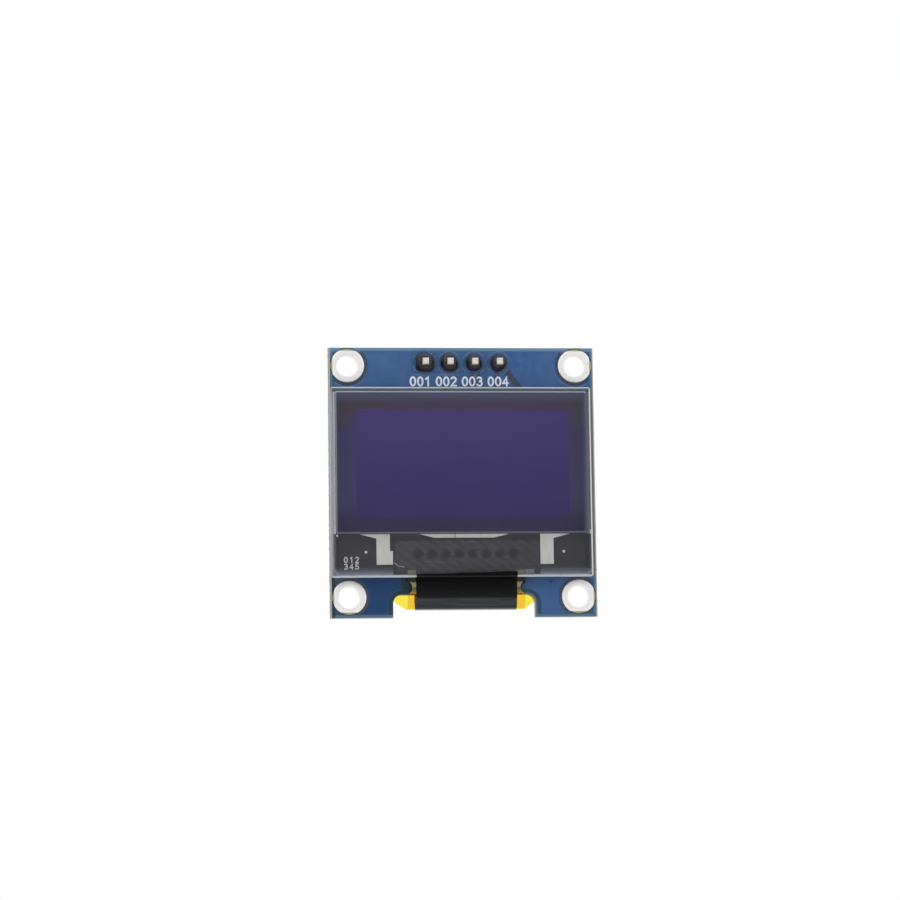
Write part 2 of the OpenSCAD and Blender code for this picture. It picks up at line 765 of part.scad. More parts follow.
module chip_solder() color("lightgray") stand() {
    for (spot = CAPACITORS) solder_fillets(spot, cap_h);
    for (spot = RESISTORS) solder_fillets(spot, res_h);
}

module spare_pads() color("silver") stand()
    plate(pad_back, lam_back)
        for (spot = SPARES) translate([part_x(spot), part_y(spot)]) rotate(spot[2] == 1 ? 90 : 0) chip_pads();

module at_regulator()
    translate([part_x(REGULATOR), part_y(REGULATOR), pad_back]) rotate([180, 0, 0]) children();

// Moulded body with drafted sides above and below the parting line
module regulator_body() color("black") stand() at_regulator() {
    middle = reg_lift + lead_t + (reg_h - reg_lift) / 2;
    low = reg_lift;
    profiled_block(
        [[reg_l / 2 - reg_draft, low], [reg_l / 2, middle - lead_t], [reg_l / 2, middle],
         [reg_l / 2 - reg_draft, reg_h]],
        [[reg_w / 2 - reg_draft, low], [reg_w / 2, middle - lead_t], [reg_w / 2, middle],
         [reg_w / 2 - reg_draft, reg_h]],
        reg_l, reg_w);
}

// Gull-wing lead: out of the body, down, and along the pad
module lead() {
    high = reg_lift + lead_t + (reg_h - reg_lift) / 2;
    root = reg_w / 2;
    bend = root + 0.35 * lead_reach;
    foot = root + lead_reach;
    rotate([90, 0, 90]) linear_extrude(lead_w, center = true)
        polygon([
            [root, high], [bend, high], [bend + lead_t, lead_t], [foot, lead_t],
            [foot, 0], [bend, 0], [bend - lead_t, high - lead_t], [root, high - lead_t]
        ]);
}

module each_lead() {
    for (x = [-lead_pitch / 2, lead_pitch / 2]) translate([x, 0]) children();
    rotate(180) children();
}

module regulator_leads() color("silver") stand() at_regulator() each_lead() lead();

module lead_pads(g = 0) mirror([0, 1]) each_lead()
    translate([0, reg_w / 2 + 0.75 * lead_reach])
        square([lead_w + 2 * lead_margin + 2 * g, lead_reach + 2 * lead_margin + 2 * g], center = true);

module regulator_pads() color("lightgray") stand()
    plate(pad_back, lam_back)
        translate([part_x(REGULATOR), part_y(REGULATOR)]) lead_pads();

circuit_board();
solder_mask_front();
solder_mask_back();
mounting_ring_1();
mounting_ring_2();
mounting_ring_3();
mounting_ring_4();
pin_pad_1();
pin_pad_2();
pin_pad_3();
pin_pad_4();
solder_cone_1();
solder_cone_2();
solder_cone_3();
solder_cone_4();
header_insulator();
header_pin_1();
header_pin_2();
header_pin_3();
header_pin_4();
mounting_tape();
cap_glass();
desiccant_sheet();
edge_seal();
pixel_layer();
front_glass();
polarizer();
ledge_film();
bus_pads();
fanout_film();
driver_chip();
flex_tail();
wrap_tape();
tail_contacts();
capacitor_1();
capacitor_2();
capacitor_3();
capacitor_4();
capacitor_5();
capacitor_6();
capacitor_7();
capacitor_ends();
resistor_1();
resistor_2();
resistor_3();
resistor_4();
resistor_5();
resistor_coats();
resistor_ends();
chip_solder();
spare_pads();
regulator_body();
regulator_leads();
regulator_pads();
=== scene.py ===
"""Looks of a small OLED display module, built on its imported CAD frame.

Lengths are millimetres in the board's own plane until a mesh is made: x to the right, y towards the header and
w out of the screen, with the front face of the board at w = 0.
"""

import json
import math
import random
from functools import reduce

import bmesh
import bpy
from mathutils import Matrix, Vector


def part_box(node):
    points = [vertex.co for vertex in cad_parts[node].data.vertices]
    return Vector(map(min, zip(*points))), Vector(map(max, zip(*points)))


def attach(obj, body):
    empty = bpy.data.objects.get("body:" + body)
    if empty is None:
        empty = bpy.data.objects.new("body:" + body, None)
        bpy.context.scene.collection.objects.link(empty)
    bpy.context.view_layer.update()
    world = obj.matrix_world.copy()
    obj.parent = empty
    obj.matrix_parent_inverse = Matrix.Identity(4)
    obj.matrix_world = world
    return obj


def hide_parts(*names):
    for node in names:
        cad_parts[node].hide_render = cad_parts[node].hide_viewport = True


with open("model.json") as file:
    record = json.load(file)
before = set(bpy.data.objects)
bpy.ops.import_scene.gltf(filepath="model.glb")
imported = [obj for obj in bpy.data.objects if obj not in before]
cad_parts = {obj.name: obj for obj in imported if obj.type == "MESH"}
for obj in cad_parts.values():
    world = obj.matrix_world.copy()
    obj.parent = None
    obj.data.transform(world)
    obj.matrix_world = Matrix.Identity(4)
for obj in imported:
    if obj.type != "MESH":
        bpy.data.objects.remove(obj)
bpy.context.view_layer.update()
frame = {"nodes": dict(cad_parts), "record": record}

MM = 0.001
STAND = Matrix(((MM, 0, 0, 0), (0, 0, -MM, 0), (0, MM, 0, 0), (0, 0, 0, 1)))


class Box:
    """A CAD node's box in the plane of the board."""

    def __init__(self, node):
        low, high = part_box(node)
        self.left, self.right = low.x / MM, high.x / MM
        self.bottom, self.top = low.z / MM, high.z / MM
        self.back, self.front = -high.y / MM, -low.y / MM
        self.x, self.y = (self.left + self.right) / 2, (self.bottom + self.top) / 2
        self.width, self.height = self.right - self.left, self.top - self.bottom


BOARD = Box("circuit_board")
MASK = Box("solder_mask_front")
BACK_MASK = Box("solder_mask_back")
GLASS = Box("front_glass")
POLARIZER = Box("polarizer")
PIXELS = Box("pixel_layer")
LEDGE = Box("ledge_film")
FANOUT = Box("fanout_film")
FLEX = Box("flex_tail")
TAPE = Box("wrap_tape")
PINS = [Box(f"header_pin_{n}") for n in range(1, 5)]
RINGS = [Box(f"mounting_ring_{n}") for n in range(1, 5)]
CHIPS = [Box(f"capacitor_{n}") for n in range(1, 8)] + [Box(f"resistor_{n}") for n in range(1, 6)]
REGULATOR = Box("regulator_body")
TAIL_JOINTS = Box("tail_contacts")
HOLES = next(m for m in frame["record"]["mounts"] if m["name"] == "mounting_holes")["dims"]
HOLE_X, HOLE_Y = HOLES["spacing_x_mm"] / 2, HOLES["spacing_y_mm"] / 2
HOLE_R = HOLES["hole_r_mm"]
CORNERS = [(-1, 1), (1, 1), (1, -1), (-1, -1)]

# The cut-out for the flex, as in the part's source
MOUTH_HALF = 7.3
MOUTH_TOP = FLEX.bottom + 1.54
SLOT_X, SLOT_HALF = 0.2, 6.0
SLOT_TOP = MOUTH_TOP + 3.1
NOSE_R, NOSE_REACH = 0.65, 0.42

# The fold of the flex
FOLD_R = (FLEX.front - FLEX.back) / 2
FOLD_W = (FLEX.front + FLEX.back) / 2
FOLD_Y = FLEX.bottom + FOLD_R
FLEX_T = 0.1
FLEX_HALF = 6.0
TAIL_HALF = FLEX.width / 2
FLARE_H = 2.8
BOND_LEN = 1.5
TAPE_TOP = GLASS.bottom - 0.04
TAPE_R = (TAPE.front - TAPE.back) / 2
CONTACTS = 30
CONTACT_PITCH = 0.62

# The panel has this many pixels in a row
PIXEL_COLUMNS = 128

# How far a thin piece stands off what carries it or is sunk into it, and the bare margin of a film on the glass
THIN = 0.002
INSET = 0.03

random.seed(7)


# ---- materials ----


def tone(code):
    """A colour given as #rrggbb, in linear light."""
    parts = [int(code[i : i + 2], 16) / 255 for i in (1, 3, 5)]
    return [c / 12.92 if c <= 0.04045 else ((c + 0.055) / 1.055) ** 2.4 for c in parts] + [1.0]


class Value:
    """An output of a material's node, for use in sums."""

    def __init__(self, look, socket):
        self.look, self.socket = look, socket

    def __add__(self, other):
        return self.look.sum("ADD", self, other)

    def __radd__(self, other):
        return self.look.sum("ADD", other, self)

    def __sub__(self, other):
        return self.look.sum("SUBTRACT", self, other)

    def __rsub__(self, other):
        return self.look.sum("SUBTRACT", other, self)

    def __mul__(self, other):
        return self.look.sum("MULTIPLY", self, other)

    def __rmul__(self, other):
        return self.look.sum("MULTIPLY", other, self)

    def __neg__(self):
        return self.look.sum("MULTIPLY", self, -1.0)

    def __abs__(self):
        return self.look.sum("ABSOLUTE", self)


class Look:
    """A procedural material with one Principled shader, in millimetres of the board's plane."""

    def __init__(self, name, **fixed):
        self.name = name
        self.material = bpy.data.materials.new(name)
        self.material.use_nodes = True
        self.tree = self.material.node_tree
        self.tree.nodes.clear()
        self.output = self.node("ShaderNodeOutputMaterial")
        self.shader = self.node("ShaderNodeBsdfPrincipled")
        self.tree.links.new(self.shader.outputs[0], self.output.inputs["Surface"])
        coordinates = self.node("ShaderNodeTexCoord").outputs["Object"]
        scaled = self.node("ShaderNodeVectorMath", operation="SCALE")
        self.tree.links.new(coordinates, scaled.inputs[0])
        scaled.inputs["Scale"].default_value = 1 / MM
        self.place = scaled.outputs[0]
        parts = self.node("ShaderNodeSeparateXYZ")
        self.tree.links.new(self.place, parts.inputs[0])
        self.x = Value(self, parts.outputs[0])
        self.y = Value(self, parts.outputs[2])
        self.w = -Value(self, parts.outputs[1])
        self.set(**fixed)

    def node(self, kind, **settings):
        made = self.tree.nodes.new(kind)
        for name, value in settings.items():
            setattr(made, name, value)
        return made

    def plug(self, value, target):
        if isinstance(value, Value):
            self.tree.links.new(value.socket, target)
        else:
            target.default_value = value

    def set(self, **inputs):
        for name, value in inputs.items():
            self.plug(value, self.shader.inputs[name.replace("_", " ")])

    def sum(self, operation, *values, clamp=False):
        node = self.node("ShaderNodeMath", operation=operation, use_clamp=clamp)
        for target, value in zip(node.inputs, values):
            self.plug(value, target)
        return Value(self, node.outputs[0])

    def least(self, *values):
        return reduce(lambda found, value: self.sum("MINIMUM", found, value), values)

    def most(self, *values):
        return reduce(lambda found, value: self.sum("MAXIMUM", found, value), values)

    def length(self, *values):
        return self.sum("SQRT", sum((v * v for v in values[1:]), values[0] * values[0]))

    def rise(self, value, low, high):
        """0 below low and 1 above high, with a smooth step between. low may be above high."""
        node = self.node("ShaderNodeMapRange", interpolation_type="SMOOTHSTEP")
        self.plug(value, node.inputs["Value"])
        first, last = (low, high) if low < high else (high, low)
        node.inputs["From Min"].default_value = first
        node.inputs["From Max"].default_value = last
        node.inputs["To Min"].default_value = 0.0 if low < high else 1.0
        node.inputs["To Max"].default_value = 1.0 if low < high else 0.0
        return Value(self, node.outputs["Result"])

    def spread(self, value, low, high):
        """A value from 0 to 1 brought to the range from low to high."""
        return value * (high - low) + low

    def mix(self, factor, first, second):
        node = self.node("ShaderNodeMix", data_type="RGBA")
        self.plug(factor, node.inputs["Factor"])
        sockets = [s for s in node.inputs if s.type == "RGBA"]
        for target, colour in zip(sockets, (first, second)):
            self.plug(tone(colour) if isinstance(colour, str) else colour, target)
        return Value(self, next(s for s in node.outputs if s.type == "RGBA"))

    def coats(self, colour, *coats):
        """A colour under further ones, each given as (how much of it shows, its colour)."""
        for factor, tint in coats:
            colour = self.mix(factor, colour, tint)
        return colour

    def noise(self, per_mm, detail=3.0, roughness=0.5, stretch=(1, 1, 1), turn=0.0, warp=0.0):
        """Noise from 0 to 1 with so many features a millimetre. stretch and turn are in the board's plane."""
        mapping = self.node("ShaderNodeMapping")
        self.tree.links.new(self.place, mapping.inputs["Vector"])
        mapping.inputs["Rotation"].default_value = (0, math.radians(turn), 0)
        mapping.inputs["Scale"].default_value = (stretch[0], stretch[2], stretch[1])
        node = self.node("ShaderNodeTexNoise")
        self.tree.links.new(mapping.outputs[0], node.inputs["Vector"])
        node.inputs["Scale"].default_value = per_mm
        node.inputs["Detail"].default_value = detail
        node.inputs["Roughness"].default_value = roughness
        node.inputs["Distortion"].default_value = warp
        return Value(self, node.outputs[0])

    def cells(self, per_mm):
        """Distance to the nearest of scattered points, with so many points a millimetre."""
        node = self.node("ShaderNodeTexVoronoi", feature="F1")
        self.tree.links.new(self.place, node.inputs["Vector"])
        node.inputs["Scale"].default_value = per_mm
        return Value(self, node.outputs["Distance"])

    def wave(self, value, period):
        """A sine from 0 to 1 along a value."""
        return self.sum("SINE", value * (2 * math.pi / period)) * 0.5 + 0.5

    def repeat(self, value, pitch):
        """A value that starts again at every pitch, from -pitch / 2 to pitch / 2."""
        return self.sum("FLOORED_MODULO", value + pitch / 2, pitch) - pitch / 2

    def surface(self, colour, rough, height, strength):
        """Sets the colour, the roughness as (pattern, low, high), and relief from a height in millimetres."""
        self.set(Base_Color=colour, Roughness=self.spread(*rough))
        node = self.node("ShaderNodeBump")
        node.inputs["Strength"].default_value = strength
        node.inputs["Distance"].default_value = MM
        self.plug(height, node.inputs["Height"])
        self.tree.links.new(node.outputs[0], self.shader.inputs["Normal"])
        return self

    def facing(self, axis):
        """How far the surface faces along x, y or w, from -1 to 1."""
        node = self.node("ShaderNodeSeparateXYZ")
        self.tree.links.new(self.node("ShaderNodeNewGeometry").outputs["Normal"], node.inputs[0])
        found = Value(self, node.outputs[{"x": 0, "y": 2, "w": 1}[axis]])
        return -found if axis == "w" else found

    def clear(self, colour, share):
        """Lets what is behind show through, tinted by a colour. share is how much the surface itself shows."""
        through = self.node("ShaderNodeBsdfTransparent")
        self.plug(tone(colour) if isinstance(colour, str) else colour, through.inputs["Color"])
        blend = self.node("ShaderNodeMixShader")
        self.plug(share, blend.inputs[0])
        self.tree.links.new(through.outputs[0], blend.inputs[1])
        self.tree.links.new(self.shader.outputs[0], blend.inputs[2])
        self.tree.links.new(blend.outputs[0], self.output.inputs["Surface"])
        return self

    def gloss(self, ior):
        """The share of light that a clear surface mirrors, from outside only."""
        node = self.node("ShaderNodeFresnel")
        node.inputs["IOR"].default_value = ior
        inside = Value(self, self.node("ShaderNodeNewGeometry").outputs["Backfacing"])
        return Value(self, node.outputs[0]) * (1 - inside)

    # distances in the board's plane, negative inside

    def to_disc(self, x, y, radius):
        return self.length(self.x - x, self.y - y) - radius

    def to_box(self, x, y, half_w, half_h, corner=0.0):
        across = abs(self.x - x) - (half_w - corner)
        up = abs(self.y - y) - (half_h - corner)
        outer = self.length(self.most(across, 0.0), self.most(up, 0.0))
        inner = self.least(self.most(across, up), 0.0)
        return outer + inner - corner

    def to_line(self, start, end, half_width):
        (ax, ay), (bx, by) = start, end
        run, climb = bx - ax, by - ay
        square = run * run + climb * climb
        px, py = self.x - ax, self.y - ay
        along = self.sum("MULTIPLY", px * run + py * climb, 1 / square, clamp=True)
        return self.length(px - along * run, py - along * climb) - half_width

    def to_path(self, points, half_width):
        return self.least(*[self.to_line(a, b, half_width) for a, b in zip(points, points[1:])])

    def to_mouth(self):
        """Distance to the wide mouth of the cut-out."""
        deep = 2 * BOARD.height
        return self.to_box(0, MOUTH_TOP - deep, MOUTH_HALF, deep, 0.9)

    def to_cutout(self):
        """Distance to the cut-out for the flex."""
        nose = SLOT_HALF - NOSE_REACH + NOSE_R
        y = MOUTH_TOP + NOSE_R
        noses = self.least(*[self.to_disc(SLOT_X + s * nose, y, NOSE_R) for s in (-1, 1)])
        return self.most(self.least(self.to_mouth(), self.to_slot()), -noses)

    def to_slot(self):
        """Distance to the slot behind the glass."""
        deep = 2 * BOARD.height
        return self.to_box(SLOT_X, SLOT_TOP - deep, SLOT_HALF, deep, 0.45)

    def to_holes(self, radius):
        """Distance to the nearest of the four mounting holes, which are taken to have the given radius."""
        return self.length(abs(self.x) - HOLE_X, abs(self.y) - HOLE_Y) - radius

    def to_rim(self):
        """Distance from the edge of the mask inwards."""
        return self.least(MASK.right - abs(self.x), MASK.height / 2 - abs(self.y - MASK.y))

    def inside(self, left, right, bottom, top, soft=0.05):
        """1 in a rectangle and 0 outside it, with soft edges."""
        across = (right - left) / 2
        up = (top - bottom) / 2
        return self.rise(self.to_box(left + across, bottom + up, across, up), soft, -soft)


def laminate_look():
    """Glass-fibre laminate: layers of cloth on the snapped edges, and olive resin where a face is bare."""
    look = Look("laminate", IOR=1.5)
    fibres = look.noise(7, 5, 0.7, stretch=(1, 1, 7))
    layers = look.wave(look.w + look.noise(1.5) * 0.08, 0.17)
    edge = look.coats(look.mix(fibres, "#8f8a86", "#c3bdb6"), (layers * 0.35, "#6f6c69"))
    pins = look.least(*[look.to_disc(p.x, p.y, 1.4) for p in PINS])
    shadow = look.most(look.rise(look.to_holes(1.7), -0.02, 0.06), look.rise(pins, 0.05, -0.05))
    face = look.coats(look.mix(look.noise(9, 2), "#9b9774", "#b6b292"), (shadow, "#26262c"))
    flat = look.rise(abs(look.facing("w")), 0.6, 0.9)
    return look.surface(look.mix(flat, edge, face), (fibres, 0.55, 0.9), fibres * 0.03 + layers * 0.008, 0.8)


def front_gaps(look):
    """Distance to the gaps in the copper of the front: beside two of the pins, and round a small hole."""
    third, fourth = PINS[2].x, PINS[3].x
    paths = [
        ([(third - 0.25, 12.2), (third - 0.25, 8.5)], 0.17),
        ([(third + 0.5, 12.2), (third + 0.5, 8.5)], 0.13),
        ([(fourth - 0.2, 12.2), (fourth - 0.2, 8.5)], 0.18),
        ([(fourth + 0.5, 11.7), (fourth + 2.4, 9.3)], 0.23),
    ]
    return look.least(look.to_disc(8.88, -10.33, 0.13), *[look.to_path(points, half) for points, half in paths])


def back_gaps(look):
    """Distance to the gaps beside the tracks of the back, and to the small holes that the tracks end at.

    A track runs up from each contact's part in the first row, and one runs down from each pin.
    """
    gap, hole = 0.06, 0.13
    found = []
    top = CHIPS[0].y + 2.55
    for first, second, low, high, end, reach in (
        (CHIPS[0], CHIPS[1], TAIL_JOINTS.top, top, top, 9.7),
        (PINS[0], PINS[1], 8.2, PINS[0].y, 8.2, 5.1),
    ):
        across = look.repeat(look.x - first.x, second.x - first.x)
        track = look.length(across, look.most(abs(look.y - (low + high) / 2) - (high - low) / 2, 0.0))
        round_hole = look.length(across, look.y - end) - hole
        found.append(look.most(look.least(abs(track - 0.24) - gap, round_hole), abs(look.x) - reach))
    beside = REGULATOR.x - 1.9
    power = [(PINS[1].x, 8.2), (PINS[1].x - 1.2, 7.0), (beside, 7.0), (beside, REGULATOR.y)]
    bus_y = CHIPS[8].y + 1.3
    bus = [(CHIPS[8].x, bus_y), (CHIPS[9].x + 2.2, bus_y), (CHIPS[6].x, CHIPS[6].y - 2.1)]
    found += [abs(look.to_path(path, 0) - half) - gap for path, half in ((power, 0.4), (bus, 0.22))]
    return look.least(*found)


def mask_look(name, gaps, front):
    """Blue solder mask over copper: it is darker where the copper stops, and rounds over each edge of it."""
    look = Look(name, IOR=1.55, Specular_IOR_Level=0.45)
    rim = look.to_rim()
    # On the left half of the front the bare ground is darker and a bare band runs round the slot: painted
    # shade.
    left = look.rise(look.x, 1, -1) if front else 0.0
    keep_out = look.least(look.to_mouth() - 0.5, look.to_cutout() - 0.06)
    if front:
        keep_out = look.least(keep_out, look.to_slot() + 3 - left * 3.6)
    border = look.least(rim - 0.35, keep_out)
    bare = look.least(border, look.to_holes(2.05), gaps(look))
    copper = look.rise(bare, -0.05, 0.05)
    mottle = look.noise(0.6, 3, 0.6)
    grain = look.noise(14, 3, 0.7)
    cloth = look.wave(look.x + look.noise(0.8) * 0.1, 0.42) * look.wave(look.y, 0.42)
    covered = look.mix(mottle, "#315689", "#476b9a")
    upper_left = look.most(look.rise(look.x, MASK.left + 0.25, MASK.left + 0.4), look.rise(look.y, 0, 3))
    ground = look.coats(
        look.mix(look.rise(border, 0.05, -0.05), "#3f4556", look.mix(left, "#163e57", "#052d3c")),
        (cloth * 0.25 + mottle * 0.15, "#37566d"),
        (look.rise(keep_out, -0.22, -0.45) * (1 - left) * 0.5, "#6f7f8c"),
        (look.rise(rim, 0.36, 0.2) * upper_left * 0.85, "#4f7593"),
    )
    if front:
        patchy = look.rise(look.noise(1.1, 4, 0.6), 0.42, 0.62)
        covered = look.coats(
            covered,
            (look.rise(look.y, -8.0, -10.5) * 0.5, "#2d5384"),
            (look.rise(look.to_disc(-9.0, -12.8, 0), 6.5, 2.5), "#063a68"),
            (look.inside(3.9, 7.4, 11.0, 13.2, 0.8) * patchy * 0.7, "#1b4b96"),
        )
        # Painted shadow: the bare strip beside the glass on the right is coloured grey for the glass's shadow
        # on the board.
        beside = look.inside(GLASS.right - 1, BOARD.right + 1, GLASS.bottom, GLASS.top, 0.15)
        ground = look.coats(
            ground,
            (look.rise(look.y, MASK.top - 0.6, MASK.top - 0.2) * 0.7, "#7194b6"),
            (beside * 0.85, "#767b7e"),
        )
    outline = look.rise(abs(bare), 0.1, 0.0) * look.rise(rim, 0.3, 0.6)
    colour = look.coats(
        look.mix(copper, ground, covered),
        (outline * 0.5 + 0.12 * look.rise(abs(bare), 0.2, 0.0), "#12304e"),
        (look.rise(grain, 0.62, 0.74) * 0.3, "#7f9cc0"),
    )
    relief = copper * 0.022 + grain * 0.003 + cloth * 0.0015
    return look.surface(colour, (look.noise(2.2, 4, 0.6), 0.26, 0.46), relief, 0.9)


def tin_look():
    """Dull tinned copper, dimpled and a little stained."""
    look = Look("tin", Metallic=0.25)
    cloud = look.noise(1.6, 5, 0.65)
    pits = look.noise(11, 4, 0.6)
    stain = look.rise(look.noise(3.1, 4), 0.62, 0.8) * 0.4
    colour = look.coats(look.mix(cloud, "#eceaea", "#fdfcfb"), (stain, "#c9bfb6"))
    return look.surface(colour, (pits, 0.34, 0.58), cloud * 0.02 + pits * 0.006, 0.8)


def solder_look(name, dark, light, low, high, metal, lumps):
    """Solder, which is bright and pale, or black: partly a coat of burnt flux and partly painted shade for the
    dark surroundings that solder mirrors.
    """
    look = Look(name, Metallic=metal)
    streaks = look.noise(4, 5, 0.7, warp=1.2)
    relief = streaks * lumps + look.noise(22, 3) * 0.003
    return look.surface(look.mix(streaks, dark, light), (streaks, low, high), relief, 0.9)


def flux_look():
    """A thin smear of flux on the mask round a joint."""
    look = Look("flux", IOR=1.5)
    blots = look.noise(3.2, 5, 0.7, warp=0.8)
    pale = look.rise(blots, 0.62, 0.75) * 0.7
    colour = look.coats(look.mix(blots, "#2b4568", "#466892"), (pale, "#8496ab"))
    return look.surface(colour, (blots, 0.12, 0.35), blots * 0.03, 0.9)


def pin_look():
    """Tin-plated brass, scuffed along its length and cream at the cut tips."""
    look = Look("pin_plate")
    scuffs = look.noise(9, 4, 0.6, stretch=(1, 1, 0.12))
    tip = look.rise(look.w, 1.5, 1.75)
    cut = look.mix(look.noise(4, 3, 0.6), "#d8cdc4", "#fdfaf3")
    look.set(Metallic=0.8 - tip * 0.6)
    colour = look.coats(look.mix(scuffs, "#b9b08f", "#e6dcb9"), (tip, cut))
    return look.surface(colour, (scuffs, 0.2, 0.42), scuffs * 0.006, 0.6)


def foam_look():
    """Black foam tape, full of fine bubbles."""
    look = Look("foam_tape")
    bubbles = look.cells(16)
    return look.surface(look.mix(bubbles, "#101113", "#2b2c2e"), (bubbles, 0.7, 0.95), bubbles * 0.02, 1.0)


def plain_look(name, hue, rough, relief, strength, **fixed):
    """A material with little to it.

    hue is (noise, dark, light), rough is (noise, low, high) and relief is (noise, height), where each noise is
    given by the arguments of Look.noise.
    """
    look = Look(name, **fixed)
    colour = look.mix(look.noise(*hue[0]), *hue[1:])
    rough = (look.noise(*rough[0]), *rough[1:])
    return look.surface(colour, rough, look.noise(*relief[0]) * relief[1], strength)


def plastic_look(name, dark, light, low, high):
    """Moulded black plastic with a fine spark-eroded grain."""
    grain = (26, 3, 0.6)
    return plain_look(name, (grain, dark, light), ((1.1, 4, 0.6), low, high), (grain, 0.006), 0.9, IOR=1.5)


def ceramic_look(name, dark, light):
    """Matt fired ceramic."""
    grain = (14, 4, 0.6)
    return plain_look(name, ((2.4, 3), dark, light), (grain, 0.45, 0.7), (grain, 0.006), 0.8, IOR=1.6)


def silicon_look():
    """The polished back of a bare chip."""
    cloud = (5, 4)
    hue, rough, relief = (cloud, "#2b2d33", "#45474e"), (cloud, 0.2, 0.4), (cloud, 0.002)
    return plain_look("silicon", hue, rough, relief, 0.4, Metallic=0.4)


def bus_look():
    """Pale sputtered metal seen through the glass."""
    rub, grain = (1.4, 4, 0.6, (1, 0.4, 1), 40), (16, 3, 0.6)
    hue, rough, relief = (rub, "#bdbdb8", "#d2d1cb"), (grain, 0.35, 0.55), (grain, 0.002)
    return plain_look("bus_metal", hue, rough, relief, 0.6, Metallic=0.15)


def track_look():
    """Copper tracks under the cover film of the flex."""
    cloud = (3, 4, 0.6)
    hue, rough, relief = (cloud, "#8c4f16", "#b06a1f"), (cloud, 0.25, 0.4), ((15,), 0.003)
    return plain_look("flex_track", hue, rough, relief, 0.6, Metallic=0.35)


def ink_look():
    """Pale screen-printed ink, worn thin in places."""
    wear = (8, 5, 0.7)
    hue, rough, relief = (wear, "#cbd4de", "#fbfdff"), (wear, 0.45, 0.65), (wear, 0.006)
    return plain_look("white_ink", hue, rough, relief, 0.7, IOR=1.5)


def faint_ink_look():
    """A trace of ink that has almost rubbed off."""
    look = Look("faint_ink", IOR=1.5)
    wear = look.noise(10, 5, 0.7)
    look.surface(look.mix(wear, "#5a7ba0", "#a8bdd2"), (wear, 0.4, 0.6), wear * 0.004, 0.6)
    return look.clear("#ffffff", look.rise(wear, 0.35, 0.6))


def panel_look(name):
    """The inside of the panel round the pixels, seen through the polarizer, and its pale ground sides."""
    look = Look(name, IOR=1.5, Specular_IOR_Level=0.25)
    film = POLARIZER
    haze = look.noise(1.3, 4, 0.6)
    fine = look.noise(20, 2)
    dim = look.coats(
        look.mix(look.rise(look.y, PIXELS.bottom + 2, PIXELS.bottom - 1), "#65638a", "#545070"),
        (look.rise(look.y, PIXELS.top - 2.5, PIXELS.top + 0.2), "#6d6872"),
        (look.rise(look.y, PIXELS.top + 0.3, film.top), "#7a849c"),
        (look.rise(look.x, film.right - 0.4, film.right + 0.05), "#828c98"),
    )
    lines = look.wave(look.x + haze * 0.05, 0.13) * 0.25
    margin = look.coats(
        look.mix(haze * 0.5 + lines, "#b4bec7", "#d0d6db"),
        (look.rise(look.x, film.left - 0.2, film.left - 0.12), "#e6ebee"),
    )
    rim = look.to_box(GLASS.x, GLASS.y, GLASS.width / 2, GLASS.height / 2)
    outer = look.rise(abs(look.facing("w")), 0.5, 0.2) * look.rise(rim, -0.3, -0.2)
    colour = look.coats(
        dim,
        (look.rise(look.x, film.left + 0.02, film.left - 0.03), margin),
        (look.rise(look.y, film.top + 0.02, film.top + 0.1), "#77828f"),
        (outer, look.mix(haze, "#8f9ba6", "#bcc6cc")),
        (fine * 0.15, "#2a2c33"),
    )
    return look.surface(colour, (haze, 0.45, 0.7), fine * 0.002, 0.5)


def pixel_look():
    """The pixels of a dark panel: a fine grid of deep violet cells."""
    look = Look("pixel_layer", IOR=1.5, Specular_IOR_Level=0.2)
    pitch = PIXELS.width / PIXEL_COLUMNS
    grid = look.least(look.wave(look.x - PIXELS.left, pitch), look.wave(look.y - PIXELS.bottom, pitch))
    colour = look.coats(
        look.mix(look.noise(0.25, 2, 0.5), "#6a62a1", "#6e67a6"),
        (look.rise(look.y, PIXELS.top, PIXELS.bottom), "#5c5490"),
        (look.rise(grid, 0.14, 0.02) * 0.3, "#2b2447"),
    )
    return look.surface(colour, (look.noise(8), 0.35, 0.5), grid * 0.0008, 0.4)


def clear_glass_look():
    """Clear glass with a little dust and a few wiped smears."""
    ior = 1.52
    look = Look("clear_glass", Metallic=1.0, IOR=ior)
    smear = look.noise(0.35, 5, 0.6, stretch=(1, 3, 1), turn=25)
    dust = look.rise(look.cells(2.6), 0.035, 0.02)
    look.surface(look.mix(dust, "#ffffff", "#d9d6cf"), (smear, 0.02, 0.1), smear * 0.0005, 0.2)
    return look.clear(look.mix(smear, "#f9fafa", "#fdfdfe"), look.gloss(ior) + dust * 0.25)


def polarizer_look():
    """Tinted film with a hard glossy face."""
    ior = 1.49
    look = Look("polarizer", Metallic=1.0, IOR=ior)
    smear = look.noise(0.3, 5, 0.6, stretch=(1, 2.5, 1), turn=-20)
    dust = look.rise(look.cells(1.9), 0.03, 0.018)
    look.surface(look.mix(dust, "#ffffff", "#cfcac2"), (smear, 0.06, 0.16), smear * 0.0006, 0.25)
    return look.clear(look.mix(smear, "#d2ccd6", "#d8d3dc"), look.gloss(ior) + dust * 0.12)


def ground_glass_look():
    """The ground edges of the glass, which gather light. Sides that face right carry a painted highlight and
    sides that face left painted shade.
    """
    look = Look("ground_glass", IOR=1.5)
    chips = look.noise(9, 5, 0.7)
    # The sides that face left get painted shade and those that face right a painted highlight.
    frost_and_painted_sides = look.coats(
        look.mix(chips, "#a4adb8", "#e0e6ea"),
        (look.rise(look.facing("x"), -0.4, -0.7) * 0.75, "#7f868e"),
        (look.rise(look.facing("x"), 0.4, 0.7) * 0.8, "#f1ead8"),
    )
    look.surface(frost_and_painted_sides, (chips, 0.35, 0.6), chips * 0.02, 0.8)
    return look.clear("#dfe8ea", look.spread(chips, 0.62, 0.95))


